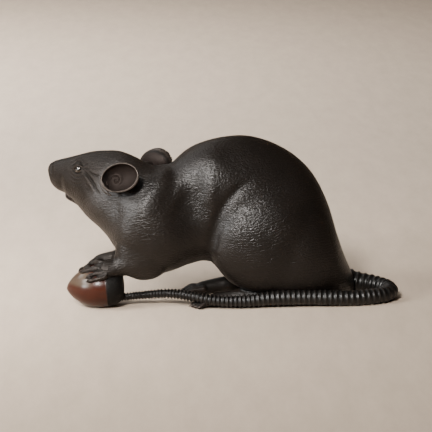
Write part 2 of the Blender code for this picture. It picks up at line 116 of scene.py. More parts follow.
# %% The straight animal: top (x, z), bottom (x, z), half width, and how low the widest place sits
SKIN = [
    ((-105.8, 72.6), (-105.8, 70.8), 1.3, 0.0),
    ((-104.9, 75.0), (-104.7, 68.4), 3.0, 0.0),
    ((-103.2, 76.5), (-103.6, 65.6), 4.6, 0.0),
    ((-100.2, 77.8), (-102.0, 62.8), 6.2, 0.05),
    ((-95.8, 79.1), (-98.4, 60.6), 7.8, 0.1),
    ((-90.4, 80.7), (-93.0, 59.0), 9.6, 0.1),
    ((-84.2, 82.6), (-87.6, 56.6), 11.6, 0.08),
    ((-77.4, 84.6), (-83.2, 52.4), 13.5, 0.05),
    ((-69.6, 85.8), (-78.6, 48.8), 15.4, 0.05),
    ((-60.2, 86.2), (-73.6, 44.6), 17.0, 0.03),
    ((-50.0, 83.3), (-67.6, 40.4), 18.8, 0.03),
    ((-42.0, 79.2), (-62.0, 35.6), 20.6, 0.05),
    ((-35.4, 77.0), (-57.6, 29.8), 22.4, 0.08),
    ((-28.8, 77.8), (-53.6, 22.8), 24.2, 0.1),
    ((-22.3, 82.8), (-48.6, 18.0), 25.2, 0.1),
    ((-14.8, 87.8), (-41.6, 16.6), 25.2, 0.12),
    ((-6.1, 91.6), (-31.0, 18.4), 24.8, 0.12),
    ((2.0, 93.6), (-20.6, 22.0), 24.6, 0.14),
    ((10.7, 94.3), (-8.8, 23.2), 25.4, 0.16),
    ((19.4, 93.0), (5.0, 14.0), 27.2, 0.18),
    ((30.5, 88.9), (20.0, -2.0), 29.6, 0.2),
    ((42.0, 81.7), (36.0, -4.0), 30.8, 0.22),
    ((51.9, 71.4), (50.0, -4.0), 29.2, 0.22),
    ((59.4, 57.0), (60.0, -3.0), 25.6, 0.2),
    ((64.4, 40.4), (67.0, -2.0), 20.6, 0.15),
    ((69.8, 25.4), (72.8, -1.0), 14.0, 0.1),
    ((75.0, 13.6), (76.0, 1.5), 7.5, 0.0),
]
SKIN_RINGS = 208
SKIN_SIDES = 96
print("drawn sections:", len(SKIN))

# %% Bend the neck
HEAD_TURN = math.radians(39.5)
BEND_STARTS_X = -28.0
BEND_ENDS_X = -66.0
NECK_PIVOT_X = -47.8
NECK_REACH = 90.0
NECK_STEPS = 801
TABLE_STRIDE = 8

# The bend as a table: distance along the neck, place of the middle line there, and its angle
neck_share = np.linspace(0, 1, NECK_STEPS) * NECK_REACH / (BEND_STARTS_X - BEND_ENDS_X)
neck_share = np.clip(neck_share, 0, 1)
neck_run = np.linspace(0, NECK_REACH, NECK_STEPS)
neck_angle = HEAD_TURN * neck_share**2 * (3 - 2 * neck_share)
run_step = neck_run[1] - neck_run[0]
neck_x = BEND_STARTS_X - np.concatenate([[0], np.cumsum(np.cos(neck_angle[:-1]) * run_step)])
neck_y = np.concatenate([[0], np.cumsum(np.sin(neck_angle[:-1]) * run_step)])


def bent(places):
    """Places on the straight animal, once the neck has turned the head away."""
    x, y, z = np.atleast_2d(places).T
    run = np.clip(BEND_STARTS_X - x, 0, NECK_REACH)
    angle = np.interp(run, neck_run, neck_angle)
    middle_x = np.where(x > BEND_STARTS_X, x, np.interp(run, neck_run, neck_x))
    middle_y = np.interp(run, neck_run, neck_y)
    return np.stack([middle_x + y * np.sin(angle), middle_y + y * np.cos(angle), z], axis=1)


def straightened(places):
    """The other way: places on the turned animal, back on the straight one, and the turn there."""
    x, y, z = np.atleast_2d(places).T
    table = slice(None, None, TABLE_STRIDE)
    along = (x[:, None] - neck_x[table]) * -np.cos(neck_angle[table])
    along = along + (y[:, None] - neck_y[table]) * np.sin(neck_angle[table])
    last_behind = np.argmax(along < 0, axis=1)
    rows = np.arange(len(x))
    before = np.clip(last_behind - 1, 0, None)
    here, there = along[rows, before], along[rows, last_behind]
    part = np.where(last_behind > 0, here / np.where(here - there == 0, 1, here - there), 0)
    run = neck_run[table][before] + np.clip(part, 0, 1) * neck_run[TABLE_STRIDE]
    run = np.where(x > BEND_STARTS_X, 0, run)
    angle = np.interp(run, neck_run, neck_angle)
    middle_x, middle_y = np.interp(run, neck_run, neck_x), np.interp(run, neck_run, neck_y)
    aside = (x - middle_x) * np.sin(angle) + (y - middle_y) * np.cos(angle)
    straight_x = np.where(x > BEND_STARTS_X, x, BEND_STARTS_X - run)
    return np.stack([straight_x, np.where(x > BEND_STARTS_X, y, aside), z], axis=1), angle


def with_head(place):
    """A place on the straight head, once the head has turned about the neck."""
    x, y, z = place
    ahead = NECK_PIVOT_X - x
    return np.array(
        [
            NECK_PIVOT_X - ahead * math.cos(HEAD_TURN) + y * math.sin(HEAD_TURN),
            ahead * math.sin(HEAD_TURN) + y * math.cos(HEAD_TURN),
            z,
        ]
    )


print("the turned nose is at", bent((SKIN[0][0][0], 0, SKIN[0][0][1]))[0].round(1))

# %% Line the drawing up with the solids
# The solids were centred over their zero once they were made: the left eye shows by how much
EYE_CENTRE = (-80.4, -9.8, 76.0)
EYELID_RADII = (4.0, 2.4, 3.3)
EYE_RADIUS = 2.4
EYE_SUNK_SHARE = 0.72
NEAR, FAR = 1, -1


def sided(place, side):
    """A place given for the near side, on either side."""
    return (place[0], place[1] * side, place[2])


def out_of_head(side):
    """The way that points straight out of the turned head on that side."""
    return with_head((NECK_PIVOT_X, -side, 0.0)) - with_head((NECK_PIVOT_X, 0, 0))


def eye_middle(side):
    """The middle of the bead, sunk into the lids."""
    centre = with_head(sided(EYE_CENTRE, side))
    return centre + out_of_head(side) * (EYELID_RADII[1] - EYE_RADIUS * EYE_SUNK_SHARE)


near_eye = "eye_left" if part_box("eye_left")[0][1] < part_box("eye_right")[0][1] else "eye_right"
far_eye = "eye_right" if near_eye == "eye_left" else "eye_left"
eye_low, eye_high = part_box(near_eye)
SHIFT = (np.array(eye_low) + np.array(eye_high)) / 2 / MM - eye_middle(NEAR)
print("drawing to solids, in millimetres:", SHIFT.round(3), near_eye)

# %% Camera in place
off_zero = np.array([IMAGE_PIXELS / 2, IMAGE_PIXELS / 2]) - PIXEL_OF_ZERO
aim = camera_right * off_zero[0] - camera_up * off_zero[1]
aim = (aim * MM_PER_PIXEL + SHIFT) * MM
lens = bpy.data.cameras.new("camera")
lens.sensor_width = SENSOR_WIDTH
lens.lens = SENSOR_WIDTH * CAMERA_DISTANCE / (IMAGE_PIXELS * MM_PER_PIXEL * MM)
lens.clip_start, lens.clip_end = 0.05, 20
camera = bpy.data.objects.new("camera", lens)
bpy.context.scene.collection.objects.link(camera)
turn = Matrix([camera_right, camera_up, camera_back]).transposed().to_4x4()
camera.matrix_world = Matrix.Translation(Vector(aim + camera_back * CAMERA_DISTANCE)) @ turn
bpy.context.scene.camera = camera
print("lens, in millimetres:", round(lens.lens))

# %% [markdown]
# ## Finishes are small graphs
# A finish in Blender is a graph of nodes: places and noise go in, and colour, roughness and height
# come out. It can be wired by hand in the shader editor. A few short helpers write the same graph
# in code, so that every number in it can be read. Values that belong to single points of a mesh,
# such as where a shell ends and its scar starts, are kept with the points and read by name.

# %% Helpers for finishes


def shader_of(material):
    return material.node_tree.nodes["Principled BSDF"]


def new_material(name, colour, roughness, metallic=0.0):
    """A plain finish, for its graph to be built on."""
    made = bpy.data.materials.new(name)
    made.use_nodes = True
    shader = shader_of(made)
    shader.inputs["Base Color"].default_value = (*colour, 1)
    shader.inputs["Roughness"].default_value = roughness
    shader.inputs["Metallic"].default_value = metallic
    return made


def node(tree, kind, inputs=None, **settings):
    """A node with its settings, and its inputs set or linked."""
    made = tree.nodes.new("ShaderNode" + kind)
    for name, value in settings.items():
        setattr(made, name, value)
    for name, value in (inputs or {}).items():
        if isinstance(value, bpy.types.NodeSocket):
            tree.links.new(value, made.inputs[name])
        else:
            made.inputs[name].default_value = value
    return made


def mix_colour(tree, share, first, second):
    """The first colour where the share is 0 and the second where it is 1."""
    made = node(tree, "Mix", data_type="RGBA")
    for index, value in ((0, share), (6, first), (7, second)):
        if isinstance(value, bpy.types.NodeSocket):
            tree.links.new(value, made.inputs[index])
        else:
            made.inputs[index].default_value = value if index == 0 else (*value, 1)
    return made.outputs[2]


def number(tree, operation, first, second=0.0, third=0.0, clamp=False):
    """A sum: MULTIPLY_ADD gives first * second + third."""
    made = node(tree, "Math", {0: first, 1: second, 2: third}, operation=operation, use_clamp=clamp)
    return made.outputs[0]


def noise(tree, vector, scale, detail=3.0, roughness=0.55):
    inputs = {"Vector": vector, "Scale": scale, "Detail": detail, "Roughness": roughness}
    return node(tree, "TexNoise", inputs).outputs["Fac"]


def stretched(tree, vector, scale):
    """The same places, squeezed so that noise on them is drawn out."""
    return node(tree, "Mapping", {"Vector": vector, "Scale": scale}).outputs[0]


def attribute(tree, name, output="Fac"):
    return node(tree, "Attribute", attribute_name=name).outputs[output]


def note(mesh, name, values):
    """Keep numbers with the points of a mesh, for its material to read."""
    values = np.asarray(values, float)
    kind, field = ("FLOAT_VECTOR", "vector") if values.ndim == 2 else ("FLOAT", "value")
    mesh.attributes.new(name, kind, "POINT").data.foreach_set(field, values.ravel())


print("helpers:", [f.__name__ for f in (new_material, node, mix_colour, number, noise, note)])

# %% [markdown]
# ## Paper and lamps
# The figure stands on mottled paper that rises behind it. A sheet with one bend would do for this
# one view; a round one closes behind the figure from every side. One big soft box could light it,
# but that lays a flat sheet of light on satin bronze. Small ones fade at their edges, as the
# highlights here do. One stands in front, one low at the left and one behind. The right side is
# left unlit, and the paper has lamps of its own that hardly reach the figure.

# %% Paper ground
PAPER_COLOUR = (0.37, 0.293, 0.224)
MOTTLE_DARKEST, MOTTLE_LIGHTEST = 0.80, 1.20
MOTTLE_SCALE = 80.0
MOTTLE_LENGTH = 4.5
GROUND_RADIUS = 1.7
WALL_RADIUS = 0.5
WALL_TOP = 2.6
PAPER_SIDES = 128
BEND_STEPS = 18

side_line = [(0.001, 0.0), (GROUND_RADIUS, 0.0)]
for step in range(1, BEND_STEPS + 1):
    angle = math.radians(90 / BEND_STEPS * step)
    rise = WALL_RADIUS * (1 - math.cos(angle))
    side_line.append((GROUND_RADIUS + WALL_RADIUS * math.sin(angle), rise))
side_line.append((GROUND_RADIUS + WALL_RADIUS, WALL_TOP))
turns = [2 * math.pi * side / PAPER_SIDES for side in range(PAPER_SIDES)]
corners = [(out * math.cos(a), out * math.sin(a), up) for out, up in side_line for a in turns]
paper_faces = []
for row in range(0, (len(side_line) - 1) * PAPER_SIDES, PAPER_SIDES):
    for side in range(PAPER_SIDES):
        beyond, over = (side + 1) % PAPER_SIDES, row + PAPER_SIDES
        paper_faces.append((row + side, row + beyond, over + beyond, over + side))
paper_mesh = bpy.data.meshes.new("paper_ground")
paper_mesh.from_pydata(corners, [], paper_faces)
paper_mesh.shade_smooth()
paper = bpy.data.objects.new("paper_ground", paper_mesh)
bpy.context.scene.collection.objects.link(paper)
print("paper ground, metres across:", 2 * (GROUND_RADIUS + WALL_RADIUS))

# %% Mottled paper
paper_finish = new_material("paper", PAPER_COLOUR, 0.85)
paper.data.materials.append(paper_finish)
tree = paper_finish.node_tree
drawn_out = node(
    tree,
    "Mapping",
    {
        "Vector": node(tree, "TexCoord").outputs["Object"],
        "Rotation": (0, 0, CAMERA_AZIMUTH),
        "Scale": (1.0, MOTTLE_LENGTH, 1.0),
    },
    vector_type="TEXTURE",
)
mottle = noise(tree, drawn_out.outputs[0], MOTTLE_SCALE, 7.0, 0.72)
darker = tuple(MOTTLE_DARKEST * part for part in PAPER_COLOUR)
lighter = tuple(MOTTLE_LIGHTEST * part for part in PAPER_COLOUR)
tint = mix_colour(tree, mottle, darker, lighter)
tree.links.new(tint, shader_of(paper_finish).inputs["Base Color"])
print("paper runs from", [round(p, 3) for p in darker], "to", [round(p, 3) for p in lighter])

# %% Lamps
KEY_AZIMUTH = math.radians(-27)
KEY_ELEVATION = math.radians(33)
KEY_DISTANCE = 1.15
KEY_RAISED = 0.05
COOL_WHITE = (0.97, 0.99, 1.0)
PALE_WARM = (1.0, 0.98, 0.95)
AIR_COLOUR = (1.0, 0.96, 0.92)
AIR_STRENGTH = 0.08
key_place = (
    math.sin(KEY_AZIMUTH) * math.cos(KEY_ELEVATION) * KEY_DISTANCE,
    -math.cos(KEY_AZIMUTH) * math.cos(KEY_ELEVATION) * KEY_DISTANCE,
    math.sin(KEY_ELEVATION) * KEY_DISTANCE + KEY_RAISED,
)
# Name, place, target, width and height, watts, colour, and how wide its light spreads, in degrees
LAMPS = [
    ("key_soft_box", key_place, (0, 0, 0.08), (0.17, 0.22), 3.1, (1.0, 0.97, 0.93), 55),
    ("left_soft_box", (-0.88, -0.36, 0.27), (0, 0.1, 0.04), (0.18, 0.18), 9.8, COOL_WHITE, 180),
    ("back_soft_box", (-0.35, 0.32, 0.85), (0, 0, 0.05), (0.4, 0.3), 1.2, (0.98, 0.99, 1.0), 180),
    ("paper_lamp", (-0.62, 0.60, 0.60), (-0.40, 0.9, 0), (0.4, 0.4), 21.0, COOL_WHITE, 140),
    ("far_paper_lamp", (-0.2, 1.15, 0.95), (-0.2, 1.15, 0), (0.5, 0.5), 8.0, AIR_COLOUR, 110),
    ("left_paper_lamp", (-0.62, -0.1, 0.42), (-0.34, 0.06, 0), (0.3, 0.3), 3.4, PALE_WARM, 60),
]

for name, place, target, size, watts, colour, spread in LAMPS:
    data = bpy.data.lights.new(name, "AREA")
    data.shape = "RECTANGLE"
    data.size, data.size_y = size
    data.energy, data.color = watts, colour
    data.spread = math.radians(spread)
    lamp = bpy.data.objects.new(name, data)
    bpy.context.scene.collection.objects.link(lamp)
    lamp.location = place
    lamp.rotation_euler = (Vector(target) - Vector(place)).to_track_quat("-Z", "Y").to_euler()
world = bpy.data.worlds.new("studio")
bpy.context.scene.world = world
world.use_nodes = True
air = world.node_tree.nodes["Background"]
air.inputs["Color"].default_value = (*AIR_COLOUR, 1)
air.inputs["Strength"].default_value = AIR_STRENGTH
print("lamps:", [name for name, *_ in LAMPS])

# %% [markdown]
# ## Clay: tubes, ovals and a loft
# Wax models are built from rolls and lumps that are pressed together. Three helpers do the same:
# a loft through the drawn sections, a tapering roll, and an oval lump. Each gives loose points and
# faces, so that many can be melted into one skin afterwards.

# %% Lofts, rolls and ovals
DOME_ANGLES = np.radians([88, 70, 50, 28])
STEPS_TO_A_SPAN = 7
POLE_GAP = 0.04


def through(values, count):
    """A smooth line through rows of numbers, at count places evenly spread over the rows."""
    rows = np.asarray(values, float)
    if rows.ndim == 1:
        return through(rows[:, None], count)[:, 0]
    at = np.linspace(0, len(rows) - 1, count)
    first = np.minimum(at.astype(int), len(rows) - 2)
    u = (at - first)[:, None]
    a, b, c, d = (rows[np.clip(first + step, 0, len(rows) - 1)] for step in (-1, 0, 1, 2))
    return b + 0.5 * u * (c - a + u * (2 * a - 5 * b + 4 * c - d + u * (3 * (b - c) + d - a)))


def ring_faces(rings, sides):
    """Quads between neighbouring rings, and a cap on each end."""
    ring = np.arange(rings - 1)[:, None] * sides
    side = np.arange(sides)[None, :]
    beyond = (side + 1) % sides
    near, far = ring + side, ring + beyond
    quads = np.stack([near, far, far + sides, near + sides], axis=-1)
    faces = [tuple(quad) for quad in quads.reshape(-1, 4)]
    faces.append(tuple(range(sides - 1, -1, -1)))
    last = (rings - 1) * sides
    faces.append(tuple(range(last, last + sides)))
    return faces


def skin_loft():
    """The drawn sections as one closed skin, with the neck bent."""
    top = through([station[0] for station in SKIN], SKIN_RINGS)
    bottom = through([station[1] for station in SKIN], SKIN_RINGS)
    half_width = through([station[2] for station in SKIN], SKIN_RINGS)[:, None]
    low = through([station[3] for station in SKIN], SKIN_RINGS)[:, None]
    round_it = np.linspace(0, 2 * math.pi, SKIN_SIDES, endpoint=False)[None, :]
    rise = 0.5 * (1 + np.cos(round_it))
    x = bottom[:, :1] + rise * (top - bottom)[:, :1]
    z = bottom[:, 1:] + rise * (top - bottom)[:, 1:]
    y = half_width * np.sin(round_it) * (1 - low * np.cos(round_it))
    places = bent(np.stack([x, y, z], axis=-1).reshape(-1, 3))
    return places, ring_faces(SKIN_RINGS, SKIN_SIDES)


def roll(line, sizes, sides, samples=None, flat=1.0, flat_axis=(0, 0, 1)):
    """A tapering roll along a smooth line, with round ends, flattened if asked along an axis."""
    samples = samples or (len(line) - 1) * STEPS_TO_A_SPAN + 1
    line, sizes = through(line, samples), through(sizes, samples)
    start = (line[0] - line[1]) / np.linalg.norm(line[0] - line[1])
    end = (line[-1] - line[-2]) / np.linalg.norm(line[-1] - line[-2])
    first = line[0] + start * sizes[0] * np.sin(DOME_ANGLES)[:, None]
    last = line[-1] + end * sizes[-1] * np.sin(DOME_ANGLES[::-1])[:, None]
    line = np.concatenate([first, line, last])
    closing = np.cos(DOME_ANGLES)
    sizes = np.concatenate([sizes[0] * closing, sizes, sizes[-1] * closing[::-1]])
    way = np.gradient(line, axis=0)
    way /= np.linalg.norm(way, axis=1)[:, None]
    steep = abs(way[:, 2]).mean() >= 0.8
    across = np.cross(way, np.array([0.0, 1.0, 0.0] if steep else [0.0, 0.0, 1.0]))
    across /= np.linalg.norm(across, axis=1)[:, None]
    over = np.cross(across, way)
    turn = np.linspace(0, 2 * math.pi, sides, endpoint=False)[None, :, None]
    out = across[:, None, :] * np.cos(turn) + over[:, None, :] * np.sin(turn)
    out = out * sizes[:, None, None]
    if flat != 1.0:
        axis = np.asarray(flat_axis, float) / np.linalg.norm(flat_axis)
        out = out - (out @ axis)[..., None] * axis * (1 - flat)
    return (line[:, None, :] + out).reshape(-1, 3), ring_faces(len(line), sides)


def oval(centre, radii, turn=0.0, rings=24, sides=32):
    """An oval lump, turned about the upright axis."""
    tilt = np.linspace(POLE_GAP, math.pi - POLE_GAP, rings)[:, None]
    around = np.linspace(0, 2 * math.pi, sides, endpoint=False)[None, :]
    x, y = np.sin(tilt) * np.cos(around), np.sin(tilt) * np.sin(around)
    shape = np.stack([x, y, np.cos(tilt) + 0 * around], axis=-1) * np.asarray(radii, float)
    c, s = math.cos(turn), math.sin(turn)
    spin = np.array([[c, s, 0], [-s, c, 0], [0, 0, 1]])
    return shape.reshape(-1, 3) @ spin + np.asarray(centre, float), ring_faces(rings, sides)


print("points in the skin's loft:", len(skin_loft()[0]))

# %% From lumps to a mesh


def press_together(lumps):
    """Many lumps as one list of points and one of faces, still overlapping."""
    points, faces, start = [], [], 0
    for places, its_faces in lumps:
        points.append(places)
        faces += [tuple(i + start for i in face) for face in its_faces]
        start += len(places)
    return np.concatenate(points), faces


def piece_from(name, places, faces):
    """A smooth mesh object from places in the drawing, in the solids' frame."""
    mesh = bpy.data.meshes.new(name)
    mesh.from_pydata(((np.asarray(places) + SHIFT) * MM).tolist(), [], faces)
    mesh.update()
    made = bpy.data.objects.new(name, mesh)
    bpy.context.scene.collection.objects.link(made)
    mesh.shade_smooth()
    return made


def places_of(mesh):
    flat = np.empty(len(mesh.vertices) * 3)
    mesh.vertices.foreach_get("co", flat)
    return flat.reshape(-1, 3) / MM - SHIFT


def outward_of(mesh):
    flat = np.empty(len(mesh.vertices) * 3)
    mesh.vertex_normals.foreach_get("vector", flat)
    return flat.reshape(-1, 3)


def move_to(mesh, places):
    mesh.vertices.foreach_set("co", ((places + SHIFT) * MM).ravel())
    mesh.update()


def settled(made):
    """Keep what the modifiers made."""
    bpy.context.view_layer.update()
    evaluated = made.evaluated_get(bpy.context.evaluated_depsgraph_get())
    mesh = bpy.data.meshes.new_from_object(evaluated)
    made.modifiers.clear()
    made.data = mesh
    return made


def melted(name, lumps, grain, steps):
    """The lumps melted into one skin of that grain, in millimetres, and smoothed."""
    made = piece_from(name, *press_together(lumps))
    melt = made.modifiers.new("melt", "REMESH")
    melt.mode = "VOXEL"
    melt.voxel_size = grain * MM
    rub = made.modifiers.new("rub", "SMOOTH")
    rub.factor = 0.5
    rub.iterations = steps
    return settled(made)


def lump_of(made):
    """A finished object as a lump again, and the object gone."""
    places = places_of(made.data)
    faces = [tuple(face.vertices) for face in made.data.polygons]
    bpy.data.objects.remove(made)
    return places, faces


print("helpers:", [f.__name__ for f in (press_together, piece_from, melted, lump_of)])

# %% [markdown]
# ## The body in soft wax
# Haunch, knee, shoulder and arm grow out of the trunk with no seam. They could be joined by hand
# with a boolean, which leaves a sharp line where two lumps meet. A voxel remesh melts them instead:
# at a coarse grain, and rubbed afterwards, it fills the valleys between them, as a thumb does. The
# untouched trunk goes in again later, so rubbing can't thin the nose or the back.

# %% Measures of haunch, arm and nut
THIGH_CENTRE = (22.5, -18.2, 40.0)
THIGH_RADII = (34.0, 14.8, 33.5)
THIGH_LEANS_IN = 0.006
THIGH_SOFT = {"rear": 0.95, "runs_out": 0.002}
THIGH_CRISP = {"rear": 0.3, "runs_out": 0.07, "rings": 64, "around": 96}
KNEE = [(20.0, -14.5, 30.0), (8.6, -15.0, 22.6)]
KNEE_RADII = [15.0, 12.0]
SHOULDER = (-38.0, -11.0, 45.0)
SHOULDER_RADII = [12.5, 10.0]
UPPER_ARM = (-46.5, -10.0, 31.0)
UPPER_ARM_RADII = (16.5, 9.5, 15.5)
FAR_UPPER_ARM = (-42.0, 12.0, 31.0)
FAR_ARM_RADII = (13.0, 9.5, 14.5)
FOREARM_START = (-52.0, -10.0, 27.0)
FAR_FOREARM_START = (-50.0, 8.0, 24.0)
WRIST = (-62.0, -10.5, 24.0)
KNUCKLES = [(-68.5, -11.0, 22.8), (-72.0, -11.3, 21.6)]
FOREARM_RADII = (9.0, 5.4)
FAR_FOREARM_RADII = (7.0, 4.9)
HAND_RADII = (5.4, 5.0, 3.4)
FAR_HAND_OFF = 2.6
NUT_CENTRE = (-73.4, -2.0)
NUT_YAW = math.radians(-11.5)
NUT_TILT = math.radians(4)
NUT_SIZE = (32.5, 28.0, 24.0)
NUT_FLAT = 0.5
NUT_OUTLINE = [
    (0.0, 0.0), (0.008, 0.09), (0.045, 0.27), (0.13, 0.52), (0.26, 0.78),
    (0.40, 0.93), (0.54, 0.995), (0.66, 0.99), (0.78, 0.945),
    (0.88, 0.84), (0.95, 0.68), (0.985, 0.45), (1.0, 0.0),
]
SOFT_GRAIN = 1.1
SOFT_RUBS = 16
print("the thigh's oval is", 2 * THIGH_RADII[0], "mm long; the nut is", NUT_SIZE[0], "mm long")

# %% Haunch, knee and arm


def haunch(side, rear, runs_out, rings=24, around=32):
    """The haunch: an oval that leans in at the top and whose rear half is drawn in to the rump."""
    places, faces = oval(sided(THIGH_CENTRE, side), THIGH_RADII, 0.0, rings, around)
    above = np.clip(places[:, 2] - THIGH_CENTRE[2], 0, None)
    places[:, 1] += side * THIGH_LEANS_IN * above**2
    behind = places[:, 0] > THIGH_CENTRE[0]
    places[behind, 0] = THIGH_CENTRE[0] + (places[behind, 0] - THIGH_CENTRE[0]) * rear
    places[behind, 1] += side * runs_out * (places[behind, 0] - THIGH_CENTRE[0]) ** 2
    return places, faces


def nut_top(x, y):
    """How high the chestnut's surface is over a place, in millimetres."""
    dx, dy = x - NUT_CENTRE[0], y - NUT_CENTRE[1]
    along = dx * math.cos(NUT_YAW) + dy * math.sin(NUT_YAW)
    aside = (dy * math.cos(NUT_YAW) - dx * math.sin(NUT_YAW)) / (NUT_SIZE[1] / 2)
    shares, heights = zip(*NUT_OUTLINE)
    width = np.interp(along / NUT_SIZE[0] + 0.5, shares, heights)
    bulge = math.sqrt(max(width**2 - aside**2, 0))
    return NUT_SIZE[2] / 2 * (1 + bulge) - NUT_FLAT + along * math.tan(NUT_TILT)


def over_nut(place, side):
    """A place of the near arm, or its mirror image on the far side of the nut."""
    across = 2 * NUT_CENTRE[1] - place[1] + FAR_HAND_OFF
    return place if side == NEAR else (place[0], across, place[2])


soft = [skin_loft()]
for side in (NEAR, FAR):
    soft.append(haunch(side, **THIGH_SOFT))
    soft.append(roll([sided(place, side) for place in KNEE], KNEE_RADII, 32))
    soft.append(roll([sided(SHOULDER, side), sided(UPPER_ARM, side)], SHOULDER_RADII, 28))
    if side == NEAR:
        soft.append(oval(UPPER_ARM, UPPER_ARM_RADII))
        soft.append(roll([FOREARM_START, WRIST], FOREARM_RADII, 28))
    else:
        soft.append(oval(FAR_UPPER_ARM, FAR_ARM_RADII))
        soft.append(roll([FAR_FOREARM_START, over_nut(WRIST, side)], FAR_FOREARM_RADII, 28))
soft_body = melted("soft_body", soft, SOFT_GRAIN, SOFT_RUBS)
print("soft body:", len(soft_body.data.polygons), "faces")

# %% [markdown]
# ## Head: jaw, eyelids and ears
# The lower jaw is a small wedge under the muzzle, which leaves the notch of the mouth. The ear is a
# thin shell like half an egg, with a bead rolled round its rim, a spiral ridge inside, and folds
# in front where it meets the cheek. Thin parts are made as lumps of their own, so that they stay
# crisp when everything is melted together at a fine grain.

# %% Places on the head
EAR_CENTRE = (-47.1, -22.4, 76.3)
FAR_EAR_CENTRE = (-49.3, -22.2, 76.9)
EAR_RADII = (11.2, 8.1)
EAR_DEPTH = 6.6
EAR_WALL = 1.15
EAR_FACES = (0.15, -0.96, 0.2)
EAR_BASE = (-55.0, -13.0, 73.5)
EAR_STALK_RADII = (7.0, 4.6)
EAR_BEAD = 0.55
EAR_TILT = math.radians(15)
# Each fold in front of the ear: angle round the rim and reach as a share of it, height, thickness
EAR_FOLDS = [
    ([(166, 1.02), (184, 1.05), (204, 1.09), (224, 1.16), (240, 1.26)], -0.5, 1.0),
    ([(186, 0.9), (202, 0.93), (220, 0.97), (236, 1.03)], 0.35, 0.62),
    ([(180, 0.72), (196, 0.78), (212, 0.84)], -0.9, 0.5),
]
JAW = [(-78.0, 0.0, 56.5), (-92.8, 0.0, 58.3)]
JAW_RADII = [6.5, 3.3]
# Folds on the cheek before them: pixels of the line, thickness, and lift off the skin
FRONT_FOLDS = [
    ([(99.2, 178.5), (99.8, 172.5), (102.2, 168.4), (106.0, 165.4), (111, 164.2)], 0.9, 1.9),
    ([(97.0, 176.0), (98.4, 171.0), (101.4, 166.6), (105.6, 163.4)], 0.6, 1.1),
]
EAR_ROWS, EAR_SIDES = 14, 56
RIM_WALL_SHARE = 0.55
SPIRAL_MIDDLE = (-4.0, -0.6)
SPIRAL_STARTS, SPIRAL_TURNS = -100, 620
SPIRAL_RADII = [0.35, 0.45, 0.45, 0.4, 0.2]
head_skin = BVHTree.FromPolygons([Vector(place) for place in skin_loft()[0]], skin_loft()[1])


def on_skin(pixel, lift, side):
    """The place on the bare head that shows at a pixel, lifted off it; or its mirror image."""
    flat = (np.array(pixel) - PIXEL_OF_ZERO) * MM_PER_PIXEL
    start = camera_right * flat[0] - camera_up * flat[1] + camera_back * 300
    place, outward, _, _ = head_skin.ray_cast(Vector(start), Vector(-camera_back))
    lifted = np.array(place + outward * lift)
    return lifted if side == NEAR else bent(straightened(lifted)[0] * (1, -1, 1))[0]


def fold(pixel_line, size, lift, side):
    """A thin roll laid on the skin along a line of pixels, thinner at its ends."""
    line = [on_skin(pixel, lift, side) for pixel in pixel_line]
    return roll(line, [size * 0.45] + [size] * (len(line) - 2) + [size * 0.35], 12)


def ear_axes(side):
    """Across, up, and the way the ear opens."""
    x, y, z = sided(EAR_FACES, side)
    opens = with_head((x + NECK_PIVOT_X, y, z)) - with_head((NECK_PIVOT_X, 0, 0))
    opens /= np.linalg.norm(opens)
    up = np.array([0, 0, 1.0]) - opens * opens[2]
    up /= np.linalg.norm(up)
    return np.cross(up, opens) * side, up, opens


def in_ear(side, across, up, out):
    """A place in the ear: millimetres towards the nape, up, and out of its mouth."""
    way_across, way_up, way_out = ear_axes(side)
    c, s = math.cos(EAR_TILT), math.sin(EAR_TILT)
    middle = with_head(sided(EAR_CENTRE if side == NEAR else FAR_EAR_CENTRE, side))
    turned_across, turned_up = across * c - up * s, across * s + up * c
    return middle + way_across * turned_across + way_up * turned_up + way_out * out


print("the near ear opens towards", ear_axes(NEAR)[2].round(2))

# %% Ear


def on_ear_ring(side, degrees, share, out):
    """A place round the ear: an angle, how far out as a share of the rim, and how proud."""
    angle = math.radians(degrees)
    across = EAR_RADII[0] * share * math.cos(angle)
    return in_ear(side, across, EAR_RADII[1] * share * math.sin(angle), out)


def ear_shell(side):
    """The shell: an outer and an inner half egg, joined at the rim."""
    around = np.linspace(0, 2 * math.pi, EAR_SIDES, endpoint=False)
    rings = []
    for wall, order in ((0.0, range(EAR_ROWS)), (EAR_WALL, range(EAR_ROWS - 1, -1, -1))):
        for row in order:
            tilt = math.radians(90) * max(row, 0.3) / (EAR_ROWS - 1)
            thin = wall * (RIM_WALL_SHARE + (1 - RIM_WALL_SHARE) * math.cos(tilt))
            for angle in around:
                across = (EAR_RADII[0] - thin) * math.sin(tilt) * math.cos(angle)
                up = (EAR_RADII[1] - thin) * math.sin(tilt) * math.sin(angle)
                rings.append(in_ear(side, across, up, -(EAR_DEPTH - thin) * math.cos(tilt)))
    return np.array(rings), ring_faces(2 * EAR_ROWS, EAR_SIDES)


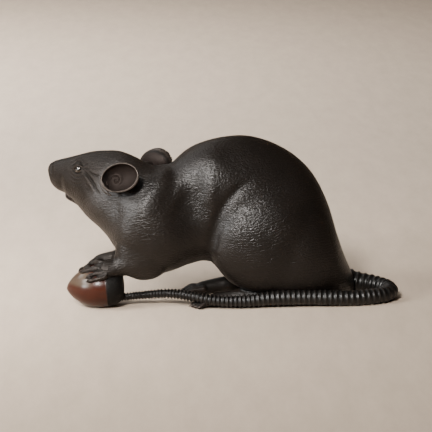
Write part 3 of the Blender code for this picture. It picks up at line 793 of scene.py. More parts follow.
def ear_lumps(side):
    """The shell, the bead on its rim, the spiral inside, the stalk and the folds in front."""
    lumps = [ear_shell(side)]
    around = np.append(np.linspace(0, 2 * math.pi, 40, endpoint=False), [0.0, 0.05])
    width, height = EAR_RADII[0] - 0.4, EAR_RADII[1] - 0.4
    rim = [in_ear(side, width * math.cos(a), height * math.sin(a), 0.1) for a in around]
    lumps.append(roll(rim, [EAR_BEAD] * len(rim), 10, 90))
    spiral = []
    for share in np.linspace(0, 1, 18):
        angle = math.radians(SPIRAL_STARTS + SPIRAL_TURNS * share)
        reach = 0.45 + 3.0 * share
        across = SPIRAL_MIDDLE[0] + reach * math.cos(angle)
        up = SPIRAL_MIDDLE[1] + reach * math.sin(angle)
        off_middle = (across / EAR_RADII[0]) ** 2 + (up / EAR_RADII[1]) ** 2
        deep = math.sqrt(max(1 - off_middle, 0.05))
        spiral.append(in_ear(side, across, up, -(EAR_DEPTH - EAR_WALL) * deep + 0.35))
    lumps.append(roll(spiral, SPIRAL_RADII, 10, 80))
    base = with_head(sided(EAR_BASE, side))
    back = in_ear(side, 0, 0, -(EAR_DEPTH + EAR_STALK_RADII[1] - EAR_WALL))
    lumps.append(roll([base, back], EAR_STALK_RADII, 24))
    for ring_places, out, size in EAR_FOLDS:
        line = [on_ear_ring(side, degrees, share, out) for degrees, share in ring_places]
        lumps.append(roll(line, [size * 0.5] + [size] * (len(line) - 2) + [size * 0.4], 12))
    for pixel_line, size, lift in FRONT_FOLDS:
        lumps.append(fold(pixel_line, size, lift, side))
    return lumps


head = [roll([with_head(place) for place in JAW], JAW_RADII, 24)]
print("lumps in each ear:", len(ear_lumps(NEAR)))

# %% Eyelids
EYELID_BULGE = 1.65
LID_ROLL = 0.62


def eyelid(side):
    radii = (EYELID_RADII[0], EYELID_BULGE, EYELID_RADII[2])
    return oval(with_head(sided(EYE_CENTRE, side)), radii, -HEAD_TURN)


def eyelid_roll(side):
    """A thin roll round the eye, pointed a little at its two corners."""
    ahead = with_head((NECK_PIVOT_X - 1, 0, 0)) - with_head((NECK_PIVOT_X, 0, 0))
    line = []
    for angle in np.linspace(0, 2 * math.pi, 33):
        reach = 2.55 + 0.55 * abs(math.cos(angle)) ** 3
        lift = 1.15 - 0.45 * abs(math.cos(angle))
        place = eye_middle(side) + ahead * reach * math.cos(angle)
        line.append(place + np.array([0, 0, 2.45 * math.sin(angle)]) + out_of_head(side) * lift)
    return roll(line, [LID_ROLL] * len(line), 10, 80)


for side in (NEAR, FAR):
    head += ear_lumps(side) + [eyelid(side), eyelid_roll(side)]
print("head lumps:", len(head))

# %% [markdown]
# ## Paws and hind feet
# A rat's hand has four slim fingers with a knob at each joint and a small claw. They lie over the
# nut. Placed by eye they would sink in or float, so each finger is drawn by where it shows in the
# picture and lifted off the nut's own height there. The hind foot is a long sole, low at the toes
# and thick at the heel, and its five toes are spread a little.

# %% Fingers
# Where the near hand's fingers show: pixels of each middle line, from knuckle to claw
FINGER_LINES = [
    [(107.0, 262.6), (99.5, 262.0), (93.5, 263.6), (88.5, 266.2), (85.2, 268.2)],
    [(106.0, 266.6), (98.5, 266.6), (92.0, 268.8), (86.5, 270.6), (82.8, 271.4)],
    [(107.0, 271.4), (101.0, 271.8), (96.0, 273.2), (92.0, 275.0), (89.4, 276.8)],
    [(108.0, 275.0), (102.5, 276.9), (97.5, 278.2), (93.2, 279.2), (90.4, 280.0)],
]
FINGER_RADII = [1.7, 1.6, 1.3, 1.35, 0.75]
FINGER_LIFT = [2.2, 1.6, 0.8, 0.8, 0.35]
PALM_LINE = [((108, 268), 1.3), ((100, 268.4), 0.3), ((93, 271.0), -0.8)]
PALM_RADII = [4.4, 3.5, 2.0]
CLAW_SIDES = 8
FINGER_CLAW = {"reach": (0.9, 1.9), "rise": 0.15, "drop": 0.3, "radii": [0.55, 0.38, 0.12]}


def on_nut(pixel, lift):
    """The place over the nut, that much above it, that shows at a pixel."""
    for y in np.arange(-17.0, 10.0, 0.05):
        x = ((pixel[0] - PIXEL_OF_ZERO[0]) * MM_PER_PIXEL - camera_right[1] * y) / camera_right[0]
        up = (PIXEL_OF_ZERO[1] - pixel[1]) * MM_PER_PIXEL
        z = (up - camera_up[0] * x - camera_up[1] * y) / camera_up[2]
        if z <= nut_top(x, y) + lift:
            return (x, y, z)
    return (x, y, z)


def claw(tip, way, reach, rise, drop, radii):
    """A small claw: it arches up a little and then points down."""
    arch, point = tip + way * reach[0] + (0, 0, rise), tip + way * reach[1] - (0, 0, drop)
    return roll([tip, arch, point], radii, CLAW_SIDES)


def forepaw(side):
    """The back of the hand, the palm's web, and four fingers with their claws."""
    places = [over_nut(place, side) for place in (WRIST, *KNUCKLES)]
    back_of_hand = (0, -0.6 * side, 0.8)
    lumps = [roll(places, HAND_RADII, 28, flat=0.82, flat_axis=back_of_hand)]
    web = [on_nut(pixel, lift) for pixel, lift in PALM_LINE]
    if side == FAR:
        web = [over_nut(place, side) for place in web]
    lumps.append(roll(web, PALM_RADII, 20, flat=0.7, flat_axis=(-0.3, -0.5 * side, 0.8)))
    for pixel_line in FINGER_LINES:
        line = [on_nut(pixel, lift) for pixel, lift in zip(pixel_line, FINGER_LIFT)]
        if side == FAR:
            line = [over_nut(place, side) for place in line]
            line = [(x, y, nut_top(x, y) + lift) for (x, y, z), lift in zip(line, FINGER_LIFT)]
        lumps.append(roll(line, FINGER_RADII, 14, 46))
        tip, before = np.array(line[-1]), np.array(line[-2])
        way = (tip - before) / np.linalg.norm(tip - before)
        lumps.append(claw(tip, way, **FINGER_CLAW))
    return lumps


print("fingers on each hand:", len(FINGER_LINES))

# %% Hind feet
HIND_FOOT = [(-9.0, -14.8, 3.4), (6.0, -16.2, 4.7), (24.0, -17.0, 5.2)]
HIND_FOOT_RADII = [3.7, 4.7, 5.4]
HIND_TOES = 5
TOE_RADIUS = 1.6
TOE_RADII = [2.2, 1.8, 1.6, 1.15]
TOE_LENGTH = 12.0
TOES_TURN_OUT = math.radians(11)
HIND_TOE_SPREAD = math.radians(6)
TOE_CLAW = {"reach": (1.3, 2.5), "rise": 0.1, "drop": 0.6, "radii": [0.6, 0.42, 0.14]}


def hind_foot(side):
    """The long sole and five toes, spread about the middle one."""
    places = [sided(place, side) for place in HIND_FOOT]
    lumps = [roll(places, HIND_FOOT_RADII, 24)]
    middle = (HIND_TOES - 1) / 2
    for toe in range(HIND_TOES):
        lean = (toe - middle) * HIND_TOE_SPREAD - TOES_TURN_OUT * side
        way = np.array([-math.cos(lean), math.sin(lean), 0.0])
        length = TOE_LENGTH * (1 - 0.1 * abs(toe - middle))
        start = np.array(places[0]) + (0, (toe - middle) * TOE_RADIUS * 1.15, 0)
        knuckle = start + way * length * 0.6 + (0, 0, -0.2)
        tip = start + way * length
        tip[2] = TOE_RADIUS * 0.8
        lumps.append(roll([start, (start + knuckle) / 2, knuckle, tip], TOE_RADII, 14, 30))
        lumps.append(claw(tip, way, **TOE_CLAW))
    return lumps


limbs = []
for side in (NEAR, FAR):
    limbs += forepaw(side) + hind_foot(side)
print("lumps in the paws and feet:", len(limbs))

# %% [markdown]
# ## One skin
# Everything is melted once more, now at under half a millimetre, which keeps fingers and folds.
# Points are then moved: hollows and swellings over the muscles, and creases at
# eye, cheek and mouth. Sculpting with a brush could do it too, but numbers can be corrected against
# the picture one at a time. Each is given by where it shows in the picture and is mirrored to the
# far side, so the animal is finished all round.

# %% Melt
GRAIN = 0.42
CRISP_RUBS = 3
HAUNCH_EDGE_SUNK = 0.6
haunches = []
for side in (NEAR, FAR):
    places, faces = haunch(side, **THIGH_CRISP)
    haunches.append((places + (0, side * HAUNCH_EDGE_SUNK, 0), faces))

lumps = [lump_of(soft_body), skin_loft()] + haunches + head + limbs
rat = melted("rat_skin", lumps, GRAIN, CRISP_RUBS)
skin_places = places_of(rat.data)
skin_out = outward_of(rat.data)
print("skin:", len(skin_places), "points")

# %% Where each point shows, seen from the near side


def near_view(places, outward):
    """Pixels of each point as if it were on the near side, and how much it faces the camera."""
    straight, angle = straightened(places)
    c, s = np.cos(angle), np.sin(angle)
    out_x, out_y = outward[:, 0] * c - outward[:, 1] * s, outward[:, 0] * s + outward[:, 1] * c
    flip = np.where(straight[:, 1] > 0, -1.0, 1.0)
    straight = straight * np.stack([np.ones_like(flip), flip, np.ones_like(flip)], axis=1)
    out_y = out_y * flip
    near_out = np.stack([out_x * c + out_y * s, -out_x * s + out_y * c, outward[:, 2]], axis=1)
    return pixels_of(bent(straight)), near_out @ camera_back


skin_pixels, skin_faces_us = near_view(skin_places, skin_out)
print("points that face the camera:", int((skin_faces_us > 0).sum()))

# %% Swellings over the muscles
# Middle and spread in pixels, height in millimetres (a hollow if negative), and lean in degrees
SWELLINGS = [
    ((155, 198), (16, 40), 3.2, 38),
    ((127, 238), (14, 17), 1.5, 0),
    ((168, 182), (13, 16), 1.8, 0),
    ((192, 208), (28, 36), -5.2, -10),
    ((186, 157), (22, 17), 1.6, 12),
    ((214, 172), (21, 26), 2.8, -10),
    ((211, 199), (7, 16), 1.5, -6),
    ((94, 207), (12, 18), 2.0, -30),
    ((118, 207), (6, 14), -0.8, -10),
]


def swelling(centre, spread, height, lean):
    """How far a soft swelling lifts each point."""
    dx, dy = skin_pixels[:, 0] - centre[0], skin_pixels[:, 1] - centre[1]
    c, s = math.cos(math.radians(lean)), math.sin(math.radians(lean))
    u, v = (dx * c + dy * s) / spread[0], (dy * c - dx * s) / spread[1]
    return height * np.exp(-(u * u + v * v))


facing = np.clip(skin_faces_us * 4 + 0.3, 0, 1)
trunk = np.clip(skin_faces_us * 3.3, 0, 1) * (skin_places[:, 2] > 12)
push = np.zeros(len(skin_places))
for row in SWELLINGS:
    push += trunk * swelling(*row)
print("deepest hollow and highest swelling:", push.min().round(2), push.max().round(2))

# %% Creases
THIGH_CREASE = ([(213, 252), (214, 236), (220, 215), (228, 201), (238, 190), (250, 183)], 5.0, 1.2)
# Pixels of the line, width in pixels, and depth in millimetres (a raised fold if negative)
CREASES = [
    ([(99.4, 268.6), (102.6, 265.6)], 1.2, 1.3),
    ([(105.0, 263.6), (98.0, 264.2), (91.0, 266.8)], 0.8, 0.8),
    ([(106.0, 269.2), (98.0, 269.6), (90.0, 272.8)], 0.8, 0.9),
    ([(108.0, 273.6), (100.0, 275.0), (93.0, 276.8)], 0.8, 0.8),
    ([(84.5, 171.5), (88.4, 174), (93, 180), (96.4, 185), (99.5, 191), (103, 195)], 1.1, 0.8),
    ([(86, 175.5), (91, 182), (94.5, 188), (98, 193)], 1.8, -0.4),
    ([(61.5, 176), (62.2, 184), (63.8, 190), (66, 195)], 2.2, 0.3),
    ([(66.5, 174), (66.8, 183), (68.6, 192), (72, 200)], 3.0, -0.4),
    ([(63.0, 193.4), (66.5, 195.2), (70.0, 198.0), (73, 199)], 0.9, 0.6),
    ([(54.0, 160.4), (52.4, 165.0), (51.6, 170.0), (51.8, 174.5)], 1.0, 0.6),
    ([(74.0, 167.0), (75.4, 163.8), (78.4, 162.0), (81.8, 162.6), (84.4, 165.6)], 0.8, 0.75),
    ([(72.0, 165.4), (74.6, 161.0), (78.6, 159.0), (83.4, 159.8), (87.5, 163.4)], 0.9, 0.4),
    ([(73.6, 169.6), (76.0, 173.0), (80.0, 174.4), (84.0, 172.4)], 0.8, 0.75),
    ([(71.6, 172.4), (75.4, 176.6), (80.8, 177.6), (86.2, 174.8)], 0.9, 0.45),
    ([(84.4, 167.0), (86.8, 165.4), (90.4, 164.8)], 0.8, 0.55),
    ([(84.4, 169.4), (87.4, 169.2), (90.8, 170.0)], 0.8, 0.6),
    ([(90.0, 172.0), (94.0, 174.6), (98.0, 176.4), (101.4, 176.0)], 0.9, 0.5),
    ([(71.6, 177.0), (75.6, 180.4), (80.6, 181.4), (86.0, 179.6)], 0.9, 0.35),
    ([(71.4, 181.0), (75.6, 184.2), (80.4, 185.2), (86.0, 184.0)], 0.9, 0.3),
]


def crease(line, width, depth):
    """How far a groove along a line of pixels lifts each point; it fades at its ends."""
    points = through(line, len(line) * 6)
    nearest, share = np.full(len(skin_pixels), 1e9), np.zeros(len(skin_pixels))
    low, high = points.min(0) - 4 * width, points.max(0) + 4 * width
    close = (skin_pixels > low).all(1) & (skin_pixels < high).all(1)
    spots = skin_pixels[close]
    best, where = np.full(len(spots), 1e9), np.zeros(len(spots))
    for index, (a, b) in enumerate(zip(points[:-1], points[1:])):
        along = b - a
        t = np.clip(((spots - a) @ along) / (along @ along), 0, 1)
        distance = np.linalg.norm(spots - a - t[:, None] * along, axis=1)
        nearer = distance < best
        best = np.where(nearer, distance, best)
        where = np.where(nearer, (index + t) / (len(points) - 1), where)
    nearest[close], share[close] = best, where
    fade = np.clip(np.minimum(share, 1 - share) * 5 + 0.15, 0, 1)
    return -depth * fade * np.exp(-((nearest / width) ** 2))


ear_spot = np.array([in_ear(NEAR, 0, 0, 0), in_ear(FAR, 0, 0, 0)])
from_ear = np.min([np.linalg.norm(skin_places - spot, axis=1) for spot in ear_spot], axis=0)
off_ear = np.clip((from_ear - 11.5) / 1.5, 0, 1)
push += trunk * crease(*THIGH_CREASE)
for row in CREASES:
    push += facing * off_ear * crease(*row)
skin_places = skin_places + skin_out * push[:, None]
print("creases on each side:", len(CREASES) + 1)

# %% Rub the haunch into the rump
RUB_STEPS = 60
RUB_STRENGTH = 0.6


def ramp(values, start, end):
    """0 at start, 1 at end, straight between them and level outside."""
    return np.clip((values - start) / (end - start), 0, 1)


def ends_of_edges(mesh):
    flat = np.empty(len(mesh.edges) * 2, dtype=np.int32)
    mesh.edges.foreach_get("vertices", flat)
    return flat.reshape(-1, 2)


def neighbours_sum(ends, values):
    """For each point, the sum of the values of the points that share an edge with it."""
    a, b = ends.T
    count = len(values)
    return np.bincount(a, values[b], count) + np.bincount(b, values[a], count)


x, y = skin_pixels.T
behind_thigh = ramp(x, 238, 246) * ramp(y, 172, 184)
under_thigh = ramp(y, 236, 246) * ramp(x, 224, 230)
rubbing = np.maximum(trunk * behind_thigh, trunk * under_thigh)
ends = ends_of_edges(rat.data)
ends = ends[(rubbing[ends] > 0).any(axis=1)]
neighbours = np.maximum(neighbours_sum(ends, np.ones(len(x))), 1)
for _ in range(RUB_STEPS):
    for axis in range(3):
        across = skin_places[:, axis]
        across += RUB_STRENGTH * rubbing * (neighbours_sum(ends, across) / neighbours - across)
# The underside is ground flat, so that the figure stands
skin_places[:, 2] = np.maximum(skin_places[:, 2], -SHIFT[2])
move_to(rat.data, skin_places)
print("points rubbed:", int((rubbing > 0).sum()))

# %% Fewer facets where the skin is plain
SKIN_TRIANGLES = 150000
trim = rat.modifiers.new("trim", "DECIMATE")
trim.ratio = min(SKIN_TRIANGLES / (2 * len(rat.data.polygons)), 1)
settled(rat)
rat.data.shade_smooth()
print("skin after trimming:", len(rat.data.polygons), "triangles")

# %% [markdown]
# ## Tail
# The tail is a tapering roll cut into rings, each with a round crest and a narrow groove, and the
# rings grow shorter towards the tip. It leaves the rump, turns round on the near side, passes over
# the toes and ends at the scar of the nut. Separate rings on a curve would leave gaps on the inside
# of the bend, so one roll is made whose thickness goes in and out along its line.

# %% The ringed tail
TAIL = [
    ((62.0, 2.0, 12.0), 9.0), ((70.0, 1.6, 8.8), 7.6), ((78.5, 0.0, 6.6), 6.2),
    ((87.0, -4.5, 5.7), 5.5), ((93.2, -12.5, 5.1), 5.0), ((92.8, -21.5, 4.8), 4.7),
    ((85.0, -28.2, 4.7), 4.6), ((68.0, -30.8, 4.9), 4.5), ((40.0, -27.5, 5.6), 4.4),
    ((22.0, -25.5, 5.4), 4.3), ((8.0, -24.5, 4.4), 3.7), ((-6.0, -23.0, 4.8), 3.4),
    ((-16.0, -19.5, 5.9), 3.3), ((-24.5, -14.0, 6.9), 3.05), ((-34.5, -9.0, 7.1), 2.85),
    ((-46.0, -6.0, 6.1), 2.6),
]
TIP_AHEAD = 14.25
tip_x = NUT_CENTRE[0] + TIP_AHEAD * math.cos(NUT_YAW)
tip_y = NUT_CENTRE[1] + TIP_AHEAD * math.sin(NUT_YAW)
TAIL.append(((tip_x, tip_y, 5.2), 2.3))
RING_PITCH = 0.67
RING_DEPTH = 0.12
THIN_END_DEEPER = 2.2
RING_PROFILE = [
    (0.0, 1.0), (0.22, 0.92), (0.38, 0.6), (0.47, 0.08), (0.56, 0.0), (0.65, 0.12), (0.78, 0.7)
]
TAIL_SIDES = 26

fine_line = through([place for place, _ in TAIL], 4000)
fine_size = through([size for _, size in TAIL], 4000)
run = np.concatenate([[0], np.cumsum(np.linalg.norm(np.diff(fine_line, axis=0), axis=1))])
starts = [0.0]
while starts[-1] < run[-1]:
    starts.append(starts[-1] + RING_PITCH * np.interp(starts[-1], run, fine_size))
stops, cuts = [], []
for a, b in zip(starts[:-1], starts[1:]):
    for share, cut in RING_PROFILE:
        if a + share * (b - a) < run[-1] - 0.05:
            stops.append(a + share * (b - a))
            cuts.append(cut)
stops, cuts = np.array(stops), np.array(cuts)
tail_line = np.stack([np.interp(stops, run, fine_line[:, axis]) for axis in range(3)], axis=1)
deeper = np.interp(stops, [0, 0.55 * run[-1], 0.7 * run[-1]], [1.0, 1.0, THIN_END_DEEPER])
tail_size = np.interp(stops, run, fine_size) * (1 - RING_DEPTH * deeper * cuts)
points, faces = roll(tail_line, tail_size, TAIL_SIDES, len(tail_line))
points[:, 2] = np.maximum(points[:, 2], 0.05)
tail = piece_from("rat_tail", points, faces)
print("rings on the tail:", len(starts) - 1, "| triangles:", len(tail.data.polygons) * 2)

# %% [markdown]
# ## Chestnut
# A chestnut is a flattened drop: shiny shell, a point at one end and a broad dull scar at the
# other, where it sat in its burr. A sphere could be pulled into that shape; turning an outline
# about its length and squashing it gives the same drop with every measure in the open. The scar
# stands a hair proud of the shell along a straight edge.

# %% Turn the nut
NUT_RINGS = 90
NUT_SIDES = 96
SCAR_STARTS = 0.705
SCAR_STANDS_PROUD = 0.007
SCAR_GROOVE = 0.008

shares, heights = (np.array(column) for column in zip(*NUT_OUTLINE))
profile = through(np.stack([shares, heights], axis=1), NUT_RINGS)
profile[:, 1] = np.maximum(profile[:, 1], 0.004)
profile[:, 0] = np.maximum.accumulate(np.clip(profile[:, 0], 0, 1))
past_scar = profile[:, 0] - SCAR_STARTS
proud = SCAR_STANDS_PROUD / (1 + np.exp(-past_scar * 260))
proud -= SCAR_GROOVE * np.exp(-(((past_scar + 0.006) / 0.008) ** 2))
around = np.linspace(0, 2 * math.pi, NUT_SIDES, endpoint=False)
wide = (profile[:, 1] + proud)[:, None]
nut_along = np.repeat((profile[:, 0] - 0.5)[:, None] * NUT_SIZE[0], NUT_SIDES, axis=1)
nut_aside = wide * NUT_SIZE[1] / 2 * np.cos(around)
nut_above = wide * NUT_SIZE[2] / 2 * np.sin(around)
tilt_c, tilt_s = math.cos(NUT_TILT), math.sin(NUT_TILT)
yaw_c, yaw_s = math.cos(NUT_YAW), math.sin(NUT_YAW)
tilted_along = nut_along * tilt_c - nut_above * tilt_s
tilted_above = nut_along * tilt_s + nut_above * tilt_c
nut_x = NUT_CENTRE[0] + tilted_along * yaw_c - nut_aside * yaw_s
nut_y = NUT_CENTRE[1] + tilted_along * yaw_s + nut_aside * yaw_c
nut_z = np.maximum(tilted_above + NUT_SIZE[2] / 2 - NUT_FLAT, 0.0)
nut_places = np.stack([nut_x, nut_y, nut_z], -1).reshape(-1, 3)
nut = piece_from("chestnut_shell", nut_places, ring_faces(NUT_RINGS, NUT_SIDES))
note(nut.data, "scar", np.repeat(1 / (1 + np.exp(-past_scar * 300)), NUT_SIDES))
# The pale patch on the nut's upper front is a painted reflection of the pale paper
painted_sheen = np.clip((nut_z - 12.6) / 2.0, 0, 1) * np.clip((-76.0 - nut_x) / 4, 0, 1)
note(nut.data, "painted_sheen", painted_sheen.ravel())
print("scar starts at this share of the nut's length:", SCAR_STARTS)

# %% [markdown]
# ## Eyes
# Each eye is a bead let into the lids: black in the middle, with a ring of gilt copper round it,
# polished so that it catches the lamp. A ring of its own could lie on the bead, but it would be
# thinner than the facets show, so each point keeps its angle from the middle for the material.

# %% Beads


def bead(name, side, node):
    """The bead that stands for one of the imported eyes."""
    places, faces = oval((0, 0, 0), (EYE_RADIUS,) * 3, 0, 26, 36)
    made = piece_from(name, places + eye_middle(side), faces)
    outward = places @ out_of_head(side) / EYE_RADIUS
    note(made.data, "from_middle", np.degrees(np.arccos(np.clip(outward, -1, 1))))
    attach(made, "root")
    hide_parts(node)
    return made


eyes = [bead("eye_near", NEAR, near_eye), bead("eye_far", FAR, far_eye)]
print("beads:", [made.name for made in eyes])

# %% [markdown]
# ## Dark bronze
# The patina is nearly black-brown, warmer where hands have rubbed the high places and cooler and
# duller in the hollows. Chasing leaves short strokes that follow the lie of the fur. They are far
# finer than the facets, so the material cuts them as bump. Each point carries where it is in the
# coat: along the animal, swirled over haunch and shoulder, so strokes sweep round the muscles.

# %% The lie of the coat


def swirled(coat, centre, reach, degrees):
    """Turn the coat about a place on the side, most in the middle."""
    dx, dz = coat[:, 0] - centre[0], coat[:, 2] - centre[1]
    turn = np.radians(degrees) * np.exp(-((dx * dx + dz * dz) / reach**2))
    out = coat.copy()
    out[:, 0] = centre[0] + dx * np.cos(turn) + dz * np.sin(turn)
    out[:, 2] = centre[1] - dx * np.sin(turn) + dz * np.cos(turn)
    return out


skin_places = places_of(rat.data)
skin_out = outward_of(rat.data)
straight, _ = straightened(skin_places)
coat = swirled(straight, (24, 42), 34, 18)
coat = swirled(coat, (-44, 44), 26, 25)
note(rat.data, "coat", coat)
print("the coat is swirled by up to, in millimetres:", abs(coat - straight).max().round(1))

# %% Where the casting is bare or dull
ahead = straight[:, 0]
x, _, z = skin_places.T
pixels, _ = near_view(skin_places, skin_out)
nose = ramp(ahead, -98, -104)
hands = ramp(ahead, -62, -66) * ramp(z, 33, 29)
feet = ramp(z, 9.5, 7.5) * ramp(x, 6, 0)
bare = np.maximum(np.maximum(nose, hands), feet)

# The face is dull in front of a slanting line through the ear, and so is the wrist, but less
in_front = 104 - pixels[:, 0] + 0.6 * (184 - pixels[:, 1])
dull = ramp(in_front, 0, 10) * (ahead < -45) * ramp(z, 45, 50)
wrist = ramp(ahead, -50, -56) * ramp(z, 38, 32)
# A near-black patch in the front hollow of each ear's bowl is painted shade. The thin shell is not
# cut deep enough there to cast its own.
canal_shade = np.exp(-(((pixels[:, 0] - 107.5) / 4.0) ** 2) - ((pixels[:, 1] - 176.5) / 4.6) ** 2)
in_bowl, rim_highlight = np.zeros(len(skin_places)), np.zeros(len(skin_places))
for side in (NEAR, FAR):
    middle = in_ear(side, 0, 0, 0)
    axes = np.array([in_ear(side, *step) - middle for step in ((1, 0, 0), (0, 1, 0), (0, 0, 1))])
    across, up, out = ((skin_places - middle) @ axes.T).T
    reach = np.hypot(across / EAR_RADII[0], up / EAR_RADII[1])
    near_ear = (reach < 1.3) & (out > -EAR_DEPTH) & (out < 2)
    bare = np.maximum(bare, near_ear * np.clip((1.12 - reach) / 0.1, 0, 1))
    in_bowl = np.maximum(in_bowl, near_ear * np.clip((0.93 - reach) / 0.06, 0, 1))
    # the rim of each ear is given a paler colour further down: a painted highlight along its edge
    rim_highlight = np.maximum(rim_highlight, near_ear * (out > -0.9) * np.exp(-(((reach - 0.98) / 0.05) ** 2)))
note(rat.data, "bare", bare)
note(rat.data, "dull", np.maximum(np.maximum(dull, 0.8 * wrist), 0.8 * bare))
note(rat.data, "canal_shade", canal_shade * in_bowl)
note(rat.data, "ear", in_bowl)
note(rat.data, "rim", rim_highlight)
note(rat.data, "face", ramp(ahead, -30, -70))
note(rat.data, "thigh", ramp(ahead, -8, 8))
print("share of the points that are bare:", bare.mean().round(3))

# %% Where hands have rubbed it
# A point on a ridge lies above its neighbours, and one in a groove below them
ends = ends_of_edges(rat.data)
step = skin_places[ends[:, 1]] - skin_places[ends[:, 0]]
length = np.linalg.norm(step, axis=1) + 1e-9
roundness = np.zeros(len(skin_places))
for end, sign in ((0, 1), (1, -1)):
    lean = -sign * (step * skin_out[ends[:, end]]).sum(1) / length**2
    roundness += np.bincount(ends[:, end], lean, len(roundness))
neighbours = np.maximum(neighbours_sum(ends, np.ones(len(roundness))), 1)
roundness /= neighbours
for _ in range(6):
    roundness = 0.5 * roundness + 0.5 * neighbours_sum(ends, roundness) / neighbours
note(rat.data, "rubbed", np.clip(roundness * 2.2, -1, 1))
print("roundness of the skin, low and high:", np.percentile(roundness, [2, 98]).round(3))

# %% Cuts in the coat
FUR_STROKE_DEPTH = 0.00034
PATINA_GLOSS = 0.25
bronze = new_material("dark_bronze", (0.04, 0.031, 0.026), 0.36, 0.1)
tree = bronze.node_tree
coat_place = attribute(tree, "coat", "Vector")
bare_skin = attribute(tree, "bare")
furred = number(tree, "SUBTRACT", 1.0, bare_skin)

stroke_place = stretched(tree, coat_place, (0.55, 1.0, 1.0))
wander = node(tree, "TexNoise", {"Vector": coat_place, "Scale": 0.16, "Detail": 1.0})
wander_inputs = {0: wander.outputs["Color"], 1: (2.2, 2.2, 2.2), 2: stroke_place}
wandering = node(tree, "VectorMath", wander_inputs, operation="MULTIPLY_ADD").outputs[0]
fine_strokes = noise(tree, wandering, 1.4, 1.0, 0.5)
locks = noise(tree, stretched(tree, wandering, (0.9, 1.0, 1.0)), 0.8, 1.0, 0.5)
row_place = stretched(tree, coat_place, (0.45, 1.0, 1.0))
rows = node(
    tree,
    "TexWave",
    {"Vector": row_place, "Scale": 0.21, "Distortion": 5.0, "Detail": 1.5, "Detail Scale": 2.2},
    wave_type="BANDS",
    bands_direction="Z",
).outputs["Fac"]
height = number(tree, "MULTIPLY_ADD", locks, 0.45, fine_strokes)
thigh_rows = number(tree, "MULTIPLY", rows, attribute(tree, "thigh"))
height = number(tree, "MULTIPLY_ADD", thigh_rows, 0.22, height)
height = number(tree, "MULTIPLY", height, furred)
pitted = noise(tree, coat_place, 2.6, 3.0, 0.6)
pit_depth = number(tree, "MULTIPLY_ADD", bare_skin, 0.1, 0.14)
height = number(tree, "MULTIPLY_ADD", pitted, pit_depth, height)
cut = node(tree, "Bump", {"Strength": 1.0, "Distance": FUR_STROKE_DEPTH, "Height": height})
print("strokes are cut, in millimetres:", FUR_STROKE_DEPTH / MM)

# %% Patina of the coat
blotch = noise(tree, coat_place, 0.05, 4.0, 0.6)
hand_rubbed = attribute(tree, "rubbed")
worn = number(tree, "MULTIPLY_ADD", hand_rubbed, 0.9, 0.05, clamp=True)
dirt = number(tree, "MULTIPLY", hand_rubbed, -1.6, clamp=True)
face, ear, canal_shade, rim = (attribute(tree, name) for name in ("face", "ear", "canal_shade", "rim"))
colour = mix_colour(tree, blotch, (0.0024, 0.0022, 0.0021), (0.0065, 0.0045, 0.0033))
for share, tone in (
    (worn, (0.018, 0.012, 0.0085)),
    (dirt, (0.001, 0.001, 0.0009)),
    (number(tree, "MULTIPLY", face, 0.6), (0.011, 0.008, 0.006)),
    (number(tree, "MULTIPLY", ear, 0.5), (0.012, 0.006, 0.004)),
    # painted shade in the front hollow of the ear's bowl
    (canal_shade, (0.0005, 0.0005, 0.0005)),
    # painted highlight on the ears' rim
    (rim, (0.038, 0.03, 0.025)),
):
    colour = mix_colour(tree, share, colour, tone)
rough = number(tree, "MULTIPLY_ADD", blotch, 0.14, 0.30)
for share, more in (
    (face, 0.13), (canal_shade, 0.3), (ear, 0.06), (rim, -0.12),
    (bare_skin, 0.2), (worn, -0.08), (dirt, 0.25),
):
    rough = number(tree, "MULTIPLY_ADD", share, more, rough)
dulled = number(tree, "MULTIPLY_ADD", attribute(tree, "dull"), 0.55, 0.1)
shader = shader_of(bronze)
tree.links.new(colour, shader.inputs["Base Color"])
tree.links.new(rough, shader.inputs["Roughness"])
tree.links.new(dulled, shader.inputs["Metallic"])
tree.links.new(cut.outputs[0], shader.inputs["Normal"])
shader.inputs["Specular IOR Level"].default_value = PATINA_GLOSS
print("nodes in the coat's finish:", len(tree.nodes))

# %% [markdown]
# ## Bronze of the tail
# The tail carries the same patina without fur: nearly black in the grooves, where wax and dust
# stay, and a little browner on the crests, which hands touch. Dark grooves could be left to their
# own shadow, but under soft light they would stay too bright, so the depth of the cut is kept with
# the points and darkens them.

# %% Bronze of the tail
tail_bronze = new_material("tail_bronze", (0.04, 0.031, 0.026), 0.34, 0.1)
tree = tail_bronze.node_tree
uncut = [0] * len(DOME_ANGLES)
note(tail.data, "groove", np.repeat(np.concatenate([uncut, cuts, uncut]), TAIL_SIDES))
place = node(tree, "TexCoord").outputs["Object"]
fine = noise(tree, place, 900.0, 3.0)
blotch = noise(tree, place, 60.0, 4.0)
colour = mix_colour(tree, blotch, (0.0035, 0.0032, 0.003), (0.009, 0.0065, 0.005))
groove = number(tree, "MULTIPLY", attribute(tree, "groove"), 0.9, clamp=True)
colour = mix_colour(tree, groove, colour, (0.0015, 0.0014, 0.0013))
shader = shader_of(tail_bronze)
tree.links.new(colour, shader.inputs["Base Color"])
tree.links.new(number(tree, "MULTIPLY_ADD", blotch, 0.2, 0.32), shader.inputs["Roughness"])
cut = node(tree, "Bump", {"Strength": 0.6, "Distance": 0.0001, "Height": fine})
tree.links.new(cut.outputs[0], shader.inputs["Normal"])
shader.inputs["Specular IOR Level"].default_value = 0.3
print("nodes in the tail's finish:", len(tree.nodes))
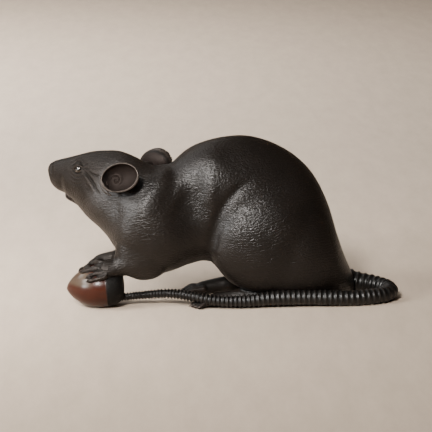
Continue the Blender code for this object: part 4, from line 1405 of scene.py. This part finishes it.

# %% [markdown]
# ## Shell and scar
# The nut is patinated red-brown and waxed, with fine streaks along its length. A pale grey-beige
# patch on its upper front is a painted reflection of the pale paper. The scar is rough and nearly
# black. One material could be given to the shell and another to the scar, but the change between
# them would follow the facets; one material that reads a value kept with the points changes softly.

# %% Shell and scar of the chestnut
shell = new_material("chestnut_patina", (0.16, 0.05, 0.025), 0.22, 0.0)
tree = shell.node_tree
place = node(tree, "TexCoord").outputs["Object"]
turn = {"Vector": place, "Rotation": (0, 0, -NUT_YAW), "Scale": (0.2, 1, 1)}
streaks = noise(tree, node(tree, "Mapping", turn).outputs[0], 420.0, 4.0, 0.6)
clouds = noise(tree, place, 90.0, 4.0)
colour = mix_colour(tree, streaks, (0.012, 0.0020, 0.0009), (0.034, 0.0062, 0.0022))
colour = mix_colour(tree, number(tree, "MULTIPLY", clouds, 0.4), colour, (0.022, 0.010, 0.006))
cloudy = number(tree, "MULTIPLY_ADD", clouds, 1.4, 0.1)
painted_sheen_share = number(tree, "MULTIPLY", attribute(tree, "painted_sheen"), cloudy, clamp=True)
# painted reflection of the pale paper on the shell's upper front, with less coat there
colour = mix_colour(tree, painted_sheen_share, colour, (0.048, 0.036, 0.025))
on_scar = attribute(tree, "scar")
grit = noise(tree, place, 1500.0, 4.0, 0.7)
scar_colour = mix_colour(tree, grit, (0.0008, 0.0008, 0.0008), (0.0045, 0.0037, 0.003))
colour = mix_colour(tree, on_scar, colour, scar_colour)
shader = shader_of(shell)
tree.links.new(colour, shader.inputs["Base Color"])
tree.links.new(number(tree, "MULTIPLY_ADD", on_scar, 0.35, 0.3), shader.inputs["Roughness"])
gritty = number(tree, "MULTIPLY", grit, on_scar)
cut = node(tree, "Bump", {"Strength": 1.0, "Distance": 0.0003, "Height": gritty})
tree.links.new(cut.outputs[0], shader.inputs["Normal"])
shader.inputs["Specular IOR Level"].default_value = 0.12
glossy = number(tree, "MULTIPLY_ADD", on_scar, -0.17, 0.17)
glossy = number(tree, "MULTIPLY_ADD", painted_sheen_share, -0.13, glossy, clamp=True)
tree.links.new(glossy, shader.inputs["Coat Weight"])
shader.inputs["Coat Roughness"].default_value = 0.23
print("nodes in the nut's finish:", len(tree.nodes))

# %% [markdown]
# ## Gilt ring and black pupil
# The pupil is black and the ring is worn gilt under a clear polish. A colour ramp over the angle
# from the bead's middle draws both, and a hard clear coat over them gives the one sharp glint.

# %% Gilt ring and black pupil
gilt = new_material("gilt_eye", (0.5, 0.22, 0.07), 0.14, 1.0)
tree = gilt.node_tree
from_middle = attribute(tree, "from_middle")
rings = node(tree, "ValToRGB", {"Fac": number(tree, "DIVIDE", from_middle, 90.0)})
pupil, ring = rings.color_ramp.elements
pupil.position, pupil.color = 0.30, (0.006, 0.005, 0.005, 1)
ring.position, ring.color = 0.38, (0.06, 0.034, 0.022, 1)
rings.color_ramp.elements.new(0.62).color = (0.02, 0.01, 0.007, 1)
shader = shader_of(gilt)
tree.links.new(rings.outputs["Color"], shader.inputs["Base Color"])
shader.inputs["Coat Weight"].default_value = 1.0
shader.inputs["Coat Roughness"].default_value = 0.04
print("nodes in the eyes' finish:", len(tree.nodes))

# %% [markdown]
# ## Put together
# Each piece gets its finish and is attached to the body it moves with, and the imported solid it
# stands for is hidden. There is one body here, because the real figure has no moving parts.

# %% Put the pieces on the body
rat.data.materials.clear()
rat.data.materials.append(bronze)
tail.data.materials.append(tail_bronze)
nut.data.materials.append(shell)
for made in eyes:
    made.data.materials.append(gilt)
for made, solid, finish in (
    (rat, "rat", "rat"),
    (tail, "rat", "rat"),
    (nut, "chestnut", "chestnut"),
):
    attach(made, "root")
    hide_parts(solid)
print("pieces:", [(o.name, len(o.data.polygons)) for o in (rat, tail, nut, *eyes)])
